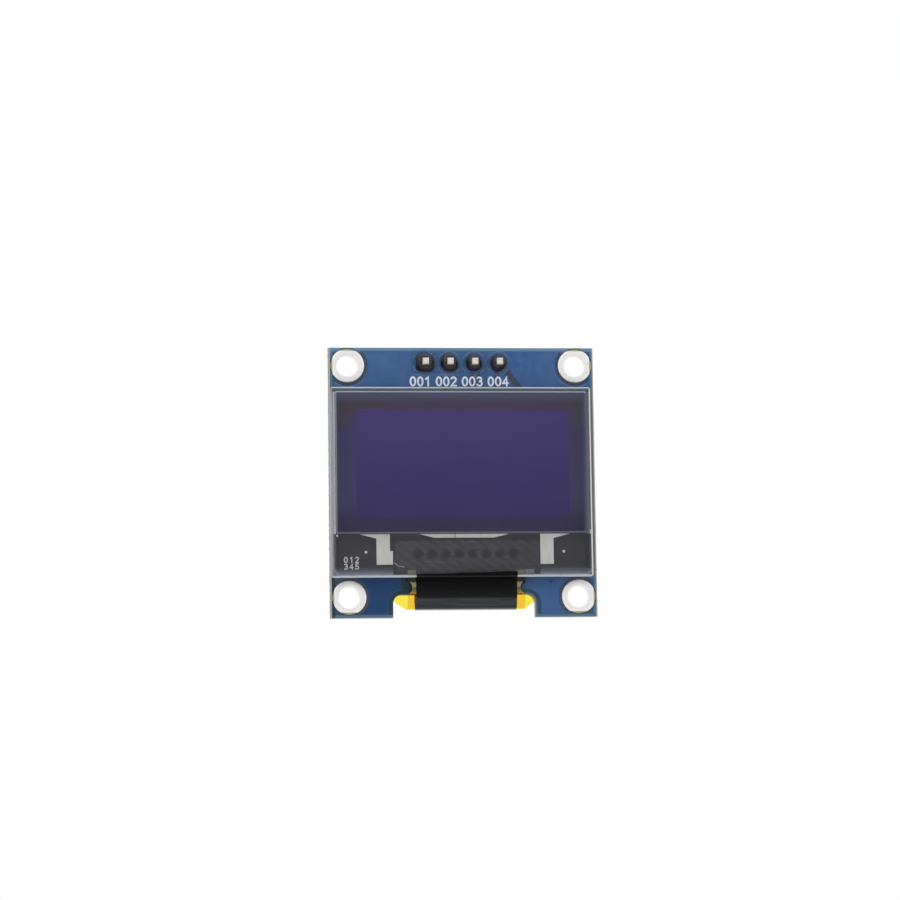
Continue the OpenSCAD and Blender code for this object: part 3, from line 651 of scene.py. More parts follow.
def film_edge_look():
    """The cut edge of the polarizer, with a painted highlight along its top, lighter towards the left and
    painted shade towards the right.
    """
    look = Look("polarizer_edge", IOR=1.49)
    film = POLARIZER
    cut = look.noise(7, 4, 0.7)
    # Painted light: lighter at the left and brightest along the top; painted shade towards the right.
    colour = look.coats(
        look.mix(cut, "#555763", "#6a6b77"),
        (look.rise(look.x, film.left + 0.3, film.left), "#7a818c"),
        (look.rise(look.x, film.right - 0.3, film.right) * 0.7, "#3c3d46"),
        (look.rise(look.y, film.top - 0.25, film.top - 0.1), "#a9b0c3"),
    )
    look.surface(colour, (cut, 0.35, 0.6), cut * 0.012, 0.7)
    return look.clear("#b8bec8", look.spread(cut, 0.75, 0.98))


def ledge_look():
    """Dark film behind the ledge. It pales towards the ground edges, with a bright line near them, as painted
    light from the edges; and it shows where the flex is bonded.
    """
    look = Look("ledge_film", IOR=1.45, Specular_IOR_Level=0.2)
    grain = look.noise(12, 4, 0.65)
    broad = look.noise(0.7, 3)
    # Painted light near the ground edges of the glass: paler towards the bottom and the sides, with a bright
    # line near them.
    rim = look.to_box(GLASS.x + 0.12, LEDGE.y + 2, GLASS.width / 2 - 0.13, LEDGE.height / 2 + 2, 0.8)
    line = look.rise(abs(rim - 0.04), 0.06, 0.0) * look.rise(broad, 0.3, 0.6)
    left, right = FLEX.x - FLEX_HALF, FLEX.x + FLEX_HALF
    low, high = GLASS.bottom, GLASS.bottom + 0.78
    colour = look.coats(
        look.mix(broad, "#3b3a3f", "#454449"),
        (look.rise(look.y, LEDGE.bottom + 0.9, LEDGE.bottom) * 0.5, "#8f96a6"),
        (look.rise(rim, -0.35, 0.1) * 0.8, "#959dab"),
        (line * 0.8, "#d5dade"),
        (look.inside(left, right, low, high, 0.06) * 0.85, "#8b8674"),
        (look.inside(right + 0.03, right + 0.95, low, high, 0.06) * 0.85, "#8f8a99"),
        (grain * 0.2, "#26262a"),
    )
    return look.surface(colour, (grain, 0.5, 0.75), grain * 0.003, 0.6)


def fanout_look():
    """Fine slanting wires under dull resin, with a row of dark spots and the flex behind its lower edge."""
    look = Look("fanout_film", IOR=1.45, Metallic=0.15)
    slant = look.x * 0.75 + look.y
    fine = look.wave(slant + look.noise(0.5) * 0.25, 0.19)
    bands = look.wave(slant + look.noise(0.8) * 0.5, 0.93)
    rub = look.noise(2.6, 5, 0.65, stretch=(0.25, 1.6, 1), turn=-38)
    spot = look.length(look.repeat(look.x + 4.75, 1.39), look.y + 7.57) + look.noise(3) * 0.3
    row = look.inside(-5.4, 5.6, -8.4, -6.7, 0.2)
    dull = look.most(look.rise(look.y, -6.3, -6.1), look.rise(look.x, -7.0, -7.25))
    glint = look.to_path([(-7.2, -8.45), (-6.85, -8.75), (-6.2, -8.88)], 0.02)
    patch = look.rise(look.y, FANOUT.bottom + 0.5, FANOUT.bottom + 0.4) * 0.8
    patch = patch * look.rise(abs(look.x - TAPE.x), TAPE.width / 2 - 0.02, TAPE.width / 2 + 0.04)
    beyond = look.inside(FLEX.x + 6.05, FLEX.x + 6.95, FANOUT.bottom - 1, FANOUT.bottom + 0.5)
    colour = look.coats(
        look.mix(rub, "#2f2e32", "#444449"),
        (look.rise(rub, 0.5, 0.75) * 0.35 + fine * 0.2 + bands * 0.16, "#5f6065"),
        (look.rise(spot, 0.85, 0.45) * row * 0.7, "#28282a"),
        (dull * 0.7, "#2f2f32"),
        (look.rise(glint, 0.05, 0.0) * 0.7, "#a39aa0"),
        (look.rise(look.x, 3, 7) * 0.3, "#2b2c30"),
        (patch * look.rise(abs(look.x - FLEX.x), 6.05, 5.95), "#7f7a6c"),
        (beyond * 0.8, "#837f8c"),
    )
    return look.surface(colour, (rub, 0.4, 0.65), fine * 0.002 + rub * 0.004, 0.6)


def flex_look():
    """Amber polyimide, which light passes through. Above the fold it is dull and brown, partly from copper and
    partly painted shade.
    """
    look = Look("polyimide", IOR=1.6, Specular_IOR_Level=0.5)
    cloud = look.noise(1.8, 4, 0.6)
    fine = look.noise(18, 3)
    behind = look.rise(look.w, FOLD_W + 0.1, FOLD_W - 0.1)
    # Above the mouth the flex is near opaque. Its front leg is painted there: dark brown at the top as painted
    # shadow of the glass, a tan band as painted reflected light, olive lower down as painted shade of the dark
    # back leg.
    copper = look.rise(look.y, MOUTH_TOP - 0.03, MOUTH_TOP + 0.1)
    front = look.coats(
        look.mix(look.rise(look.y, MOUTH_TOP, MOUTH_TOP + 0.6), "#a08a08", "#5c5a2a"),
        (look.rise(look.y, MOUTH_TOP + 0.6, MOUTH_TOP + 0.75), "#938a70"),
        (look.rise(look.y, MOUTH_TOP + 1.1, MOUTH_TOP + 1.3), "#20150e"),
    )
    film = look.mix(cloud, "#d98d1c", "#eda42e")
    dull = look.mix(behind, front, look.mix(cloud, "#6b4a16", "#8a6420"))
    look.surface(look.mix(copper, film, dull), (fine, 0.22, 0.42), cloud * 0.01 + fine * 0.002, 0.6)
    tint = look.mix(behind, "#fdefda", look.mix(cloud, "#fff992", "#fff99c"))
    share = look.spread(cloud, 0.05, 0.08)
    return look.clear(tint, share + (look.spread(behind, 0.85, 0.98) - share) * copper)


def tape_look():
    """Satin black tape with a faint grain along the fold, a grey painted reflection on the lower part of the
    fold and a pale painted highlight along its bottom.
    """
    look = Look("black_tape", IOR=1.5, Specular_IOR_Level=0.2)
    grain = look.noise(5, 5, 0.7, stretch=(0.18, 1.6, 1.6))
    fine = look.noise(24, 3, 0.6)
    dust = look.rise(look.cells(3.2), 0.05, 0.03)
    # Painted reflection: a grey band of streaks on the front half of the fold's curve, with a darker crease
    # line across it.
    low = look.rise(look.w, TAPE.front - 0.02, TAPE.front - 0.06) * look.rise(look.w, FOLD_W, FOLD_W + 0.1)
    streaks = look.noise(2.2, 4, 0.7, stretch=(0.1, 2.2, 1))
    band = look.spread(look.rise(streaks, 0.3, 0.75), 0.35, 1.0)
    band = band * look.spread(look.rise(abs(look.y - TAPE.bottom - 0.3), 0.0, 0.09), 0.3, 1.0)
    colour = look.coats(
        look.mix(grain, "#0a0a0b", "#101011"),
        (low * band, "#3c3f43"),
        # Painted highlight along the bottom of the fold.
        (look.rise(look.y, TAPE.bottom + 0.12, TAPE.bottom + 0.03), "#9aa3aa"),
        (dust * 0.3, "#3a3b3e"),
    )
    return look.surface(colour, (grain, 0.1, 0.2), grain * 0.004 + fine * 0.002, 0.8)


def make_looks():
    """Every material of the scene, by name."""
    looks = [
        laminate_look(),
        mask_look("mask_front", front_gaps, True),
        mask_look("mask_back", back_gaps, False),
        tin_look(),
        solder_look("solder", "#a9a9a8", "#e2e1df", 0.14, 0.4, 0.85, 0.012),
        flux_look(),
        # Near-black solder domes: partly flux, partly painted shade for the dark surroundings that bright
        # solder would mirror.
        solder_look("dark_solder", "#040406", "#1d191d", 0.06, 0.28, 0.0, 0.06),
        plastic_look("header_plastic", "#111112", "#1e1e20", 0.35, 0.55),
        pin_look(),
        foam_look(),
        panel_look("cap_glass"),
        panel_look("seal_glue"),
        ceramic_look("desiccant", "#c9c7c0", "#dedcd6"),
        pixel_look(),
        clear_glass_look(),
        ground_glass_look(),
        polarizer_look(),
        film_edge_look(),
        ledge_look(),
        bus_look(),
        fanout_look(),
        silicon_look(),
        flex_look(),
        track_look(),
        tape_look(),
        plastic_look("chip_coat", "#17181a", "#27282b", 0.25, 0.45),
        ceramic_look("capacitor_ceramic", "#8a6f4f", "#a58761"),
        ceramic_look("resistor_ceramic", "#cfcdc8", "#ebe9e4"),
        plastic_look("moulded_black", "#18191a", "#2a2b2d", 0.4, 0.6),
        ink_look(),
        faint_ink_look(),
    ]
    return {look.name: look.material for look in looks}


# ---- meshes ----


def set_piece(name, shape, looks, replaced=(), sharp=40):
    """Makes an object from a bmesh in the board's plane. looks names its materials, by face index."""
    shape.transform(STAND)
    bmesh.ops.recalc_face_normals(shape, faces=shape.faces)
    mesh = bpy.data.meshes.new(name)
    shape.to_mesh(mesh)
    shape.free()
    mesh.shade_smooth()
    mesh.set_sharp_from_angle(angle=math.radians(sharp))
    for look in looks:
        mesh.materials.append(LOOKS[look])
    piece = bpy.data.objects.new(name, mesh)
    bpy.context.scene.collection.objects.link(piece)
    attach(piece, "root")
    if replaced:
        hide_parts(*replaced)


def add_slab(shape, outline, back, front, bevel=0.0, edge_look=0, open_back=False, rounds=2):
    """A plate with the given outline. Its front rim and corners are bevelled, and its sides take edge_look."""
    low = [shape.verts.new((x, y, back)) for x, y in outline]
    high = [shape.verts.new((x, y, front)) for x, y in outline]
    count = len(outline)
    made = [shape.faces.new(high)]
    if not open_back:
        made.append(shape.faces.new(low[::-1]))
    sides = []
    for i in range(count):
        j = (i + 1) % count
        sides.append(shape.faces.new((low[i], low[j], high[j], high[i])))
    for face in sides:
        face.material_index = edge_look
    if bevel:
        rim = set(made[0].edges)
        rim |= {edge for face in sides for edge in face.edges if edge.verts[0].co.z != edge.verts[1].co.z}
        if not open_back:
            rim |= set(made[1].edges)
        bmesh.ops.bevel(
            shape,
            geom=list(rim),
            offset=bevel,
            segments=rounds,
            profile=0.5,
            affect="EDGES",
            material=edge_look if edge_look else -1,
            clamp_overlap=True,
        )


def rectangle(left, right, bottom, top):
    """The corners of a rectangle, in order."""
    return [(left, bottom), (right, bottom), (right, top), (left, top)]


def add_faces(shape, rows, closed=False):
    """Faces between rows of points. Where closed is set, the last row joins the first."""
    for a, b in zip(rows, rows[1:] + rows[:1] if closed else rows[1:]):
        for k in range(len(a) - 1):
            shape.faces.new((a[k], a[k + 1], b[k + 1], b[k]))


def add_lathe(shape, profile, x, y, steps, limit=None, wobble=0.0):
    """Turns a profile of (radius, w) about an axis at x, y. limit moves each point to keep it on the board."""
    rings = []
    phase = random.uniform(0, 6.28)
    for r, w in profile:
        if r <= 1e-6:
            rings.append([shape.verts.new((x, y, w))])
            continue
        ring = []
        for i in range(steps):
            a = 2 * math.pi * i / steps
            swell = 1 + wobble * (math.sin(2 * a + phase + w) + 0.6 * math.sin(3 * a - phase + 2 * w)) * 0.5
            px, py = x + r * swell * math.cos(a), y + r * swell * math.sin(a)
            if limit:
                px, py = limit(px, py)
            ring.append(shape.verts.new((px, py, w)))
        rings.append(ring)
    for a, b in zip(rings, rings[1:]):
        for i in range(steps):
            j = (i + 1) % steps
            corners = [a[i % len(a)], a[j % len(a)], b[j % len(b)], b[i % len(b)]]
            unique = list(dict.fromkeys(corners))
            if len(unique) > 2:
                shape.faces.new(unique)


def add_stroke(shape, points, width, base, height, closed=False, side=1, caps=5):
    """A line of printed ink: a low rounded ridge along the points. side is 1 in front and -1 behind."""
    profile = [(-1.0, 0.0), (-0.72, 0.8), (0.0, 1.0), (0.72, 0.8), (1.0, 0.0)]
    path = [Vector(p) for p in points]
    count = len(path)
    rows = []

    def row(centre, across, reach=1.0):
        return [
            shape.verts.new((*(centre + across * (width / 2) * u * reach), base + side * height * v))
            for u, v in profile
        ]

    for i, here in enumerate(path):
        before = path[i - 1] if i or closed else None
        after = path[(i + 1) % count] if i < count - 1 or closed else None
        into = (here - before).normalized() if before is not None else (after - here).normalized()
        out = (after - here).normalized() if after is not None else into
        bend = (into + out).normalized() if (into + out).length > 1e-6 else into
        across = Vector((-bend.y, bend.x)) / max(0.5, bend.dot(into))
        if before is None:
            for k in range(caps, 0, -1):
                a = math.pi / 2 * k / (caps + 0.5)
                rows.append(row(here - into * math.sin(a) * width / 2, across, math.cos(a)))
        rows.append(row(here, across))
        if after is None:
            for k in range(1, caps + 1):
                a = math.pi / 2 * k / (caps + 0.5)
                rows.append(row(here + into * math.sin(a) * width / 2, across, math.cos(a)))
    add_faces(shape, rows, closed)


def arc(x, y, radius, start, end, steps=14, stretch=1.0):
    """Points on an arc, from start to end in degrees."""
    found = []
    for i in range(steps + 1):
        a = math.radians(start + (end - start) * i / steps)
        found.append((x + radius * math.cos(a), y + radius * stretch * math.sin(a)))
    return found


def digit_lines(digit):
    """The strokes of a plain digit in a cell 0.6 wide and 1 high."""
    return {
        "0": [arc(0.3, 0.5, 0.28, 90, 450, 22, 1.78)[:-1]],
        "1": [[(0.12, 0.78), (0.36, 1.0), (0.36, 0.0)]],
        "2": [arc(0.3, 0.72, 0.27, 160, -35, 10) + [(0.03, 0.0), (0.58, 0.0)]],
        "3": [arc(0.28, 0.74, 0.25, 150, -80, 10) + arc(0.29, 0.27, 0.28, 80, -150, 11)],
        "4": [[(0.44, 0.0), (0.44, 1.0), (0.02, 0.3), (0.6, 0.3)]],
        "5": [[(0.52, 1.0), (0.1, 1.0), (0.07, 0.56)] + arc(0.28, 0.32, 0.29, 125, -150, 12)],
        "7": [[(0.03, 1.0), (0.57, 1.0), (0.22, 0.0)]],
    }[digit]


def add_number(shape, text, x, y, height, line, base, side=1, rise=0.012, pitch=0.82):
    """Plain digits, centred on x with their feet at y. On the back they are mirrored to read from there."""
    wide = (len(text) - 1) * pitch + 0.6
    for k, digit in enumerate(text):
        for points in digit_lines(digit):
            placed = [(x + side * ((px + k * pitch) - wide / 2) * height, y + py * height) for px, py in points]
            add_stroke(shape, placed, line, base, rise, closed=digit == "0", side=side)


# ---- the board ----


def paint_cad_nodes():
    """The CAD nodes that are shown as they are take the look of their slot."""
    for node, piece in frame["nodes"].items():
        found = SLOT_OF[node]
        look = NODE_LOOK.get(node, found)
        piece.data.materials.clear()
        piece.data.materials.append(LOOKS[look])


def snapped_edge(name, start, end, outward):
    """Torn glass fibre along one snapped edge of the board, between the two scored grooves."""
    shape = bmesh.new()
    (ax, ay), (bx, by) = start, end
    ox, oy = outward
    steps = int(math.hypot(bx - ax, by - ay) / 0.11)
    middle = (BOARD.front + BOARD.back) / 2
    upper = [(-0.16, 0.34), (-0.03, 0.25), (0.0, 0.12), (0.015, 0.0)]
    profile = upper + [(out, -w) for out, w in upper[-2::-1]]
    rows = []
    for i in range(steps + 1):
        t = i / steps
        tear = random.uniform(-0.5, 1.0) * 0.045
        row = []
        for k, (out, w) in enumerate(profile):
            rough = 0 if k in (0, len(profile) - 1) else tear + random.uniform(-0.4, 1.0) * 0.04
            reach = out + rough
            place = ax + (bx - ax) * t + ox * reach, ay + (by - ay) * t + oy * reach, middle + w
            row.append(shape.verts.new(place))
        rows.append(row)
    add_faces(shape, rows)
    set_piece(name, shape, ["laminate"], sharp=70)


def board_edges():
    """The sides of the board are snapped. Its top and bottom are routed and stay as they are."""
    for name, sign in (("left", -1), ("right", 1)):
        x = sign * (BOARD.right - 0.03)
        snapped_edge(f"torn_edge_{name}", (x, BOARD.bottom + 0.04), (x, BOARD.top - 0.04), (sign, 0))


def mounting_ring(n, sx, sy):
    """A plated eyelet whose flange is cut straight beside the edges of the board."""
    ring = RINGS[n - 1]
    x, y = sx * HOLE_X, sy * HOLE_Y
    flange = x - ring.left if sx > 0 else ring.right - x
    flat_x, flat_y = abs(ring.right if sx > 0 else ring.left), abs(ring.top if sy > 0 else ring.bottom)

    def limit(px, py):
        return max(-flat_x, min(flat_x, px)), max(-flat_y, min(flat_y, py))

    front, back = ring.front, ring.back
    lip, sink, slope, steps = 0.05, 0.11, 0.14, 4
    profile = [(HOLE_R, front - 0.2)]
    for i in range(steps + 1):
        rise = sink * math.sin(math.pi / 2 * i / steps)
        profile.append((HOLE_R + 0.02 + 0.1 * i / steps, front - sink + rise))
    profile += [(HOLE_R + 0.3, front), (flange - slope, front - 0.015), (flange - lip, front - lip)]
    profile += [(flange, MASK.front - 0.035), (flange, back + 0.09), (flange - lip, back + lip)]
    profile += [(flange - slope, back + 0.015), (HOLE_R + 0.3, back), (HOLE_R + 0.12, back)]
    profile += [(HOLE_R, back + 0.2), profile[0]]
    shape = bmesh.new()
    add_lathe(shape, profile, x, y, 96, limit)
    bmesh.ops.remove_doubles(shape, verts=shape.verts, dist=1e-5)
    set_piece(f"plated_ring_{n}", shape, ["tin"], [f"mounting_ring_{n}"], 50)


def flux_smear(n, pin):
    """A thin uneven film of flux on the mask, wider round the square pad of the first pin."""
    shape = bmesh.new()
    spread = 1.12 if n == 1 else 1
    rest = [(1.1, -0.01), (1.04, 0.01), (0.7, 0.03), (0.4, 0.03)]
    add_lathe(shape, [(r * spread, MASK.front + w) for r, w in rest], pin.x, pin.y, 48, wobble=0.12)
    set_piece(f"flux_smear_{n}", shape, ["flux"], sharp=60)


def solder_dome(n, pin, extra):
    """A lumpy black dome of solder round a pin. The first one fills a square pad."""
    cone = Box(f"solder_cone_{n}")
    radius = cone.width / 2 + extra
    side = radius * 0.97

    def square(px, py):
        return max(pin.x - side, min(pin.x + side, px)), max(pin.y - side, min(pin.y + side, py))

    low, high, steps = MASK.front + 0.03, cone.front, 9
    profile = [(radius, low - 0.03), (radius, low + 0.03)]
    for i in range(1, steps):
        t = i / steps
        climb = math.sin(t * math.pi / 2) ** 0.92
        profile.append((radius * (1 - 0.64 * t**1.9), low + (high - low) * climb))
    profile += [(0.31, high + 0.02), (0.0, high)]
    if n == 1:
        profile = [(r * (1 + 0.16 * (r / radius) ** 4), w) for r, w in profile]
    shape = bmesh.new()
    add_lathe(shape, profile, pin.x, pin.y, 56, wobble=0.11, limit=square if n == 1 else None)
    set_piece(f"solder_dome_{n}", shape, ["dark_solder"], [f"solder_cone_{n}", f"pin_pad_{n}"], 60)


def solder_joints():
    """The joints of the four pins, each in a smear of flux. extra is what a dome has beyond the CAD cone."""
    for n, (pin, extra) in enumerate(zip(PINS, (0.07, 0.06, 0.0, 0.0)), 1):
        flux_smear(n, pin)
        solder_dome(n, pin, extra)


def header_pins():
    """The four square pins of the header."""
    for n, pin in enumerate(PINS):
        shape = bmesh.new()
        add_post(shape, pin.x, pin.y, pin.width / 2, pin.back, pin.front)
        set_piece(f"square_pin_{n + 1}", shape, ["pin_plate"], [f"header_pin_{n + 1}"], 35)


def add_post(shape, x, y, half, back, front):
    """A square post with rounded corners. It is nipped at the front and pointed at the back."""
    corner, tip, point = 0.05, 0.12, 0.35
    levels = [(back, 0.5), (back + point, 1.0), (front - tip, 1.0), (front, 0.8)]
    rows = []
    for w, share in levels:
        reach = half * share
        ring = []
        for k in range(4):
            turn = math.pi / 2 * k
            for a in (0, 45, 90):
                angle = turn + math.radians(a)
                cx = (reach - corner) * (1 if k in (0, 3) else -1)
                cy = (reach - corner) * (1 if k in (0, 1) else -1)
                px, py = x + cx + corner * math.cos(angle), y + cy + corner * math.sin(angle)
                ring.append(shape.verts.new((px, py, w)))
        rows.append(ring)
    add_faces(shape, [ring + ring[:1] for ring in rows])
    shape.faces.new(rows[0][::-1])
    shape.faces.new(rows[-1])


def header_body():
    """Four joined eight-sided blocks on the back, with small feet."""
    box = Box("header_insulator")
    pitch = PINS[1].x - PINS[0].x
    cut = 0.35
    upper, lower = [], []
    for pin in PINS:
        left, right = pin.x - pitch / 2, pin.x + pitch / 2
        upper += [(left, box.top - cut), (left + cut, box.top), (right - cut, box.top)]
        lower += [(left, box.bottom + cut), (left + cut, box.bottom), (right - cut, box.bottom)]
    upper.append((box.right, box.top - cut))
    lower.append((box.right, box.bottom + cut))
    shape = bmesh.new()
    add_slab(shape, lower + upper[::-1], box.back, BACK_MASK.back - 0.2, 0.07, rounds=2)
    for pin in PINS:
        foot = rectangle(pin.x - 0.55, pin.x + 0.55, box.bottom + 0.25, box.top - 0.25)
        add_slab(shape, foot, BACK_MASK.back - 0.3, box.front, 0.05)
    set_piece("header_block", shape, ["header_plastic"], ["header_insulator"], 35)


# ---- the display ----


def clear_sheets():
    """The front glass and the polarizer on it, whose hidden backs are left open."""
    for name, box, bevel, rounds, looks, slot, node in (
        ("glass_plate", GLASS, 0.16, 1, ["clear_glass", "ground_glass"], "clear_glass", "front_glass"),
        ("polarizer_film", POLARIZER, 0.12, 2, ["polarizer", "polarizer_edge"], "polarizer", "polarizer"),
    ):
        shape = bmesh.new()
        outline = rectangle(box.left, box.right, box.bottom, box.top)
        add_slab(shape, outline, box.back, box.front, bevel, edge_look=1, open_back=True, rounds=rounds)
        set_piece(name, shape, looks, [node], 20)


def border_wiring():
    """The dark wiring round the pixels, on the back of the front glass."""
    shape = bmesh.new()
    outer = rectangle(GLASS.left + INSET, GLASS.right - INSET, POLARIZER.bottom + 0.05, GLASS.top - INSET)
    inner = rectangle(PIXELS.left, PIXELS.right, PIXELS.bottom, PIXELS.top)
    rings = [[shape.verts.new((x, y, GLASS.back + THIN)) for x, y in ring] for ring in (outer, inner)]
    add_faces(shape, [ring + ring[:1] for ring in rings])
    set_piece("border_wiring", shape, ["cap_glass"])


def glass_ledge():
    """The film behind the ledge, nearly out to the edges of the glass, and two small white beads above it,
    which are painted highlights at the ends of the polarizer's lower edge.
    """
    film = bmesh.new()
    edge = POLARIZER.bottom
    outline = rectangle(GLASS.left + INSET, GLASS.right - INSET, GLASS.bottom + INSET, edge + 0.3)
    add_slab(film, outline, LEDGE.back, LEDGE.front)
    set_piece("ledge_coat", film, ["ledge_film"], ["ledge_film"])
    # Painted highlights: two small white beads at the ends of the polarizer's lower edge.
    beads = bmesh.new()
    for x, y, length in ((GLASS.left + 0.62, edge - 0.2, 0.05), (GLASS.right - 0.14, edge, 0.3)):
        add_stroke(beads, [(x, y), (x, y + length)], 0.17, LEDGE.front + 2 * THIN, 0.03)
    set_piece("highlight_beads", beads, ["white_ink"])


# ---- flex, tape and contacts ----


def fold_path(radius, front_top, back_top, stops, steps=32):
    """Points (y, w) down the front leg, round the fold and up the back leg, with more points at the stops.

    The film is creased, so that it runs straight from just above the fold to a point part of the way round.
    """
    crease = math.radians(41)
    front = FOLD_W + radius
    path = [(front_top, front), (FOLD_Y + 0.2, front), (FOLD_Y + 0.15, front - 0.006)]
    for i in range(steps + 1):
        a = math.pi / 2 + crease + (math.pi - crease) * i / steps
        path.append((FOLD_Y + radius * math.cos(a), FOLD_W + radius * math.sin(a)))
    path += [(y, FOLD_W - radius) for y in stops]
    path.append((back_top, FOLD_W - radius))
    return path


def add_folded(shape, x, half_width, outer, thick, front_top, back_top, stops, front_stops=(), columns=1):
    """A folded strip of film. half_width gives half its width from y and whether it is behind the fold."""
    skins = []
    for radius in (outer, outer - thick):
        skin = []
        path = fold_path(radius, front_top, back_top, stops)
        path[1:1] = [(y, path[0][1]) for y in front_stops]
        for y, w in path:
            reach = half_width(y, w < FOLD_W - 1e-6)
            across = [x + reach * (2 * c / columns - 1) for c in range(columns + 1)]
            skin.append([shape.verts.new((px, y, w)) for px in across])
        skins.append(skin)
    for skin in skins:
        add_faces(shape, skin)
    for c in (0, columns):
        add_faces(shape, [[row[c] for row in skin] for skin in skins])
    for i in (0, -1):
        add_faces(shape, [skin[i] for skin in skins])


def tail_reach(y, behind):
    """Half the width of the flex: notched at the noses in front of the fold, and flared behind it."""
    if not behind:
        deep = (NOSE_R + 0.05) ** 2 - (y - MOUTH_TOP - NOSE_R) ** 2
        nose = SLOT_HALF - NOSE_REACH + NOSE_R
        return min(FLEX_HALF, nose - math.sqrt(deep)) if deep > 0 else FLEX_HALF
    share = max(0.0, min(1.0, (y - FLEX.bottom) / FLARE_H))
    return FLEX_HALF + (TAIL_HALF - FLEX_HALF) * share


def flex_tail():
    """The flex, with rows of points round the notches and where the flare ends."""
    shape = bmesh.new()
    top = GLASS.bottom + BOND_LEN
    nose_y = MOUTH_TOP + NOSE_R
    notch = [nose_y + (NOSE_R + 0.05) * math.sin(math.radians(a)) for a in range(90, -91, -10)]
    flare = [FLEX.bottom + FLARE_H]
    add_folded(shape, FLEX.x, tail_reach, FOLD_R, FLEX_T, top, FLEX.top, flare, notch, columns=2)
    set_piece("amber_flex", shape, ["polyimide"], ["flex_tail"], 40)


def fold_tape():
    """Black tape wrapped round the fold."""
    shape = bmesh.new()
    half, thick = TAPE.width / 2, TAPE_R - FOLD_R
    add_folded(shape, TAPE.x, lambda y, behind: half, TAPE_R, thick - THIN, TAPE_TOP, TAPE.top, [])
    set_piece("fold_tape", shape, ["black_tape"], ["wrap_tape"], 40)


def tape_flap():
    """The end of the tape on the front of the glass, cut a little askew."""
    shape = bmesh.new()
    low, high = GLASS.front + 2 * THIN, GLASS.front + 2 * THIN + (TAPE_R - FOLD_R)
    count, askew = 24, 0.13
    skin = []
    for y, w, skew in (
        (GLASS.bottom + 0.42, low, askew),
        (GLASS.bottom + 0.41, high, askew),
        (GLASS.bottom + 0.1, high, 0.0),
        (GLASS.bottom - 0.06, GLASS.front - 0.1, 0.0),
        (TAPE_TOP - 0.1, TAPE.front - 0.01, 0.0),
        (TAPE_TOP - 0.16, TAPE.front + 0.012, 0.0),
    ):
        skin.append([])
        for i in range(count + 1):
            t = 2 * i / count - 1
            rough = 0.02 * math.sin(9 * t + 2) * (skew > 0)
            skin[-1].append(shape.verts.new((TAPE.x + TAPE.width / 2 * t, y + skew * t + rough, w)))
    add_faces(shape, skin)
    set_piece("tape_flap", shape, ["black_tape"])


def contact_places():
    """The x of each contact at the tail, from left to right."""
    return [FLEX.x + (i - (CONTACTS - 1) / 2) * CONTACT_PITCH for i in range(CONTACTS)]


def flex_tracks():
    """Copper tracks on the tail that run together from the contacts to the fold, and on round it."""
    shape = bmesh.new()
    bundle, width = 9.4, 0.24
    row = (CONTACTS - 1) * CONTACT_PITCH
    for x in contact_places():
        inner = FLEX.x + (x - FLEX.x) * bundle / row
        points = [(x, FLEX.top - 0.25), (x, FLEX.top - 1.5), (inner, FLEX.top - 4.4), (inner, TAPE.top - 0.1)]
        add_stroke(shape, points, width, FLEX.back - 0.001, 0.012, side=-1, caps=2)
    set_piece("flex_tracks", shape, ["flex_track"])


def contact_joints():
    """A pillow of solder over each contact at the end of the tail, no two quite the same."""
    shape = bmesh.new()
    for x in contact_places():
        half = 0.185 * random.uniform(0.92, 1.06)
        low = TAIL_JOINTS.bottom + 0.1 + random.uniform(-0.06, 0.06)
        add_pillow(shape, x, half, low, TAIL_JOINTS.top - 0.01, BACK_MASK.back, random.uniform(0.19, 0.23))
    set_piece("contact_joints", shape, ["solder"], ["tail_contacts"], 60)


def add_pillow(shape, x, half, bottom, top, base, height, across=6, along=12):
    """A rounded bead of solder on the back of the board, long in y."""
    rows = []
    for i in range(along + 1):
        t = -1 + 2 * i / along
        y = (bottom + top) / 2 + (top - bottom) / 2 * math.copysign(abs(t) ** 0.8, t)
        row = []
        for j in range(across + 1):
            s = -1 + 2 * j / across
            share = (1 - abs(t) ** 3.2) ** 0.5 * (1 - abs(s) ** 2.6) ** 0.5
            reach = half * (1 - 0.25 * abs(t) ** 6)
            row.append(shape.verts.new((x + s * reach, y, base - height * share)))
        rows.append(row)
    add_faces(shape, rows)


# ---- parts on the back ----

CHIP_HALF = 0.8
CHIP_SIDE = 0.4
FILLET = 0.35


def chip_point(chip, along, across):
    """A point beside a chip part, whose length runs up the board or across it."""
    return (chip.x + across, chip.y + along) if chip.height > chip.width else (chip.x + along, chip.y + across)


def chip_joints():
    """Rounded end caps, and the solder that climbs them in a hollow curve from the pads."""
    solder = bmesh.new()
    for kind, chips in (("capacitor", CHIPS[:7]), ("resistor", CHIPS[7:])):
        caps = bmesh.new()
        ends = Box(f"{kind}_ends")
        high = ends.front - ends.back
        for chip, sign in ((chip, sign) for chip in chips for sign in (-1, 1)):
            corners = [(0.5, -CHIP_SIDE), (CHIP_HALF, -CHIP_SIDE), (CHIP_HALF, CHIP_SIDE), (0.5, CHIP_SIDE)]
            outline = [chip_point(chip, sign * a, b) for a, b in corners]
            add_slab(caps, outline, ends.back, ends.front, 0.07, rounds=3)
            add_fillet(solder, chip, sign, ends.front, 0.72 * high)
        set_piece(f"{kind}_caps", caps, ["solder"], [f"{kind}_ends"])
    set_piece("chip_fillets", solder, ["solder"], ["chip_solder"], 70)


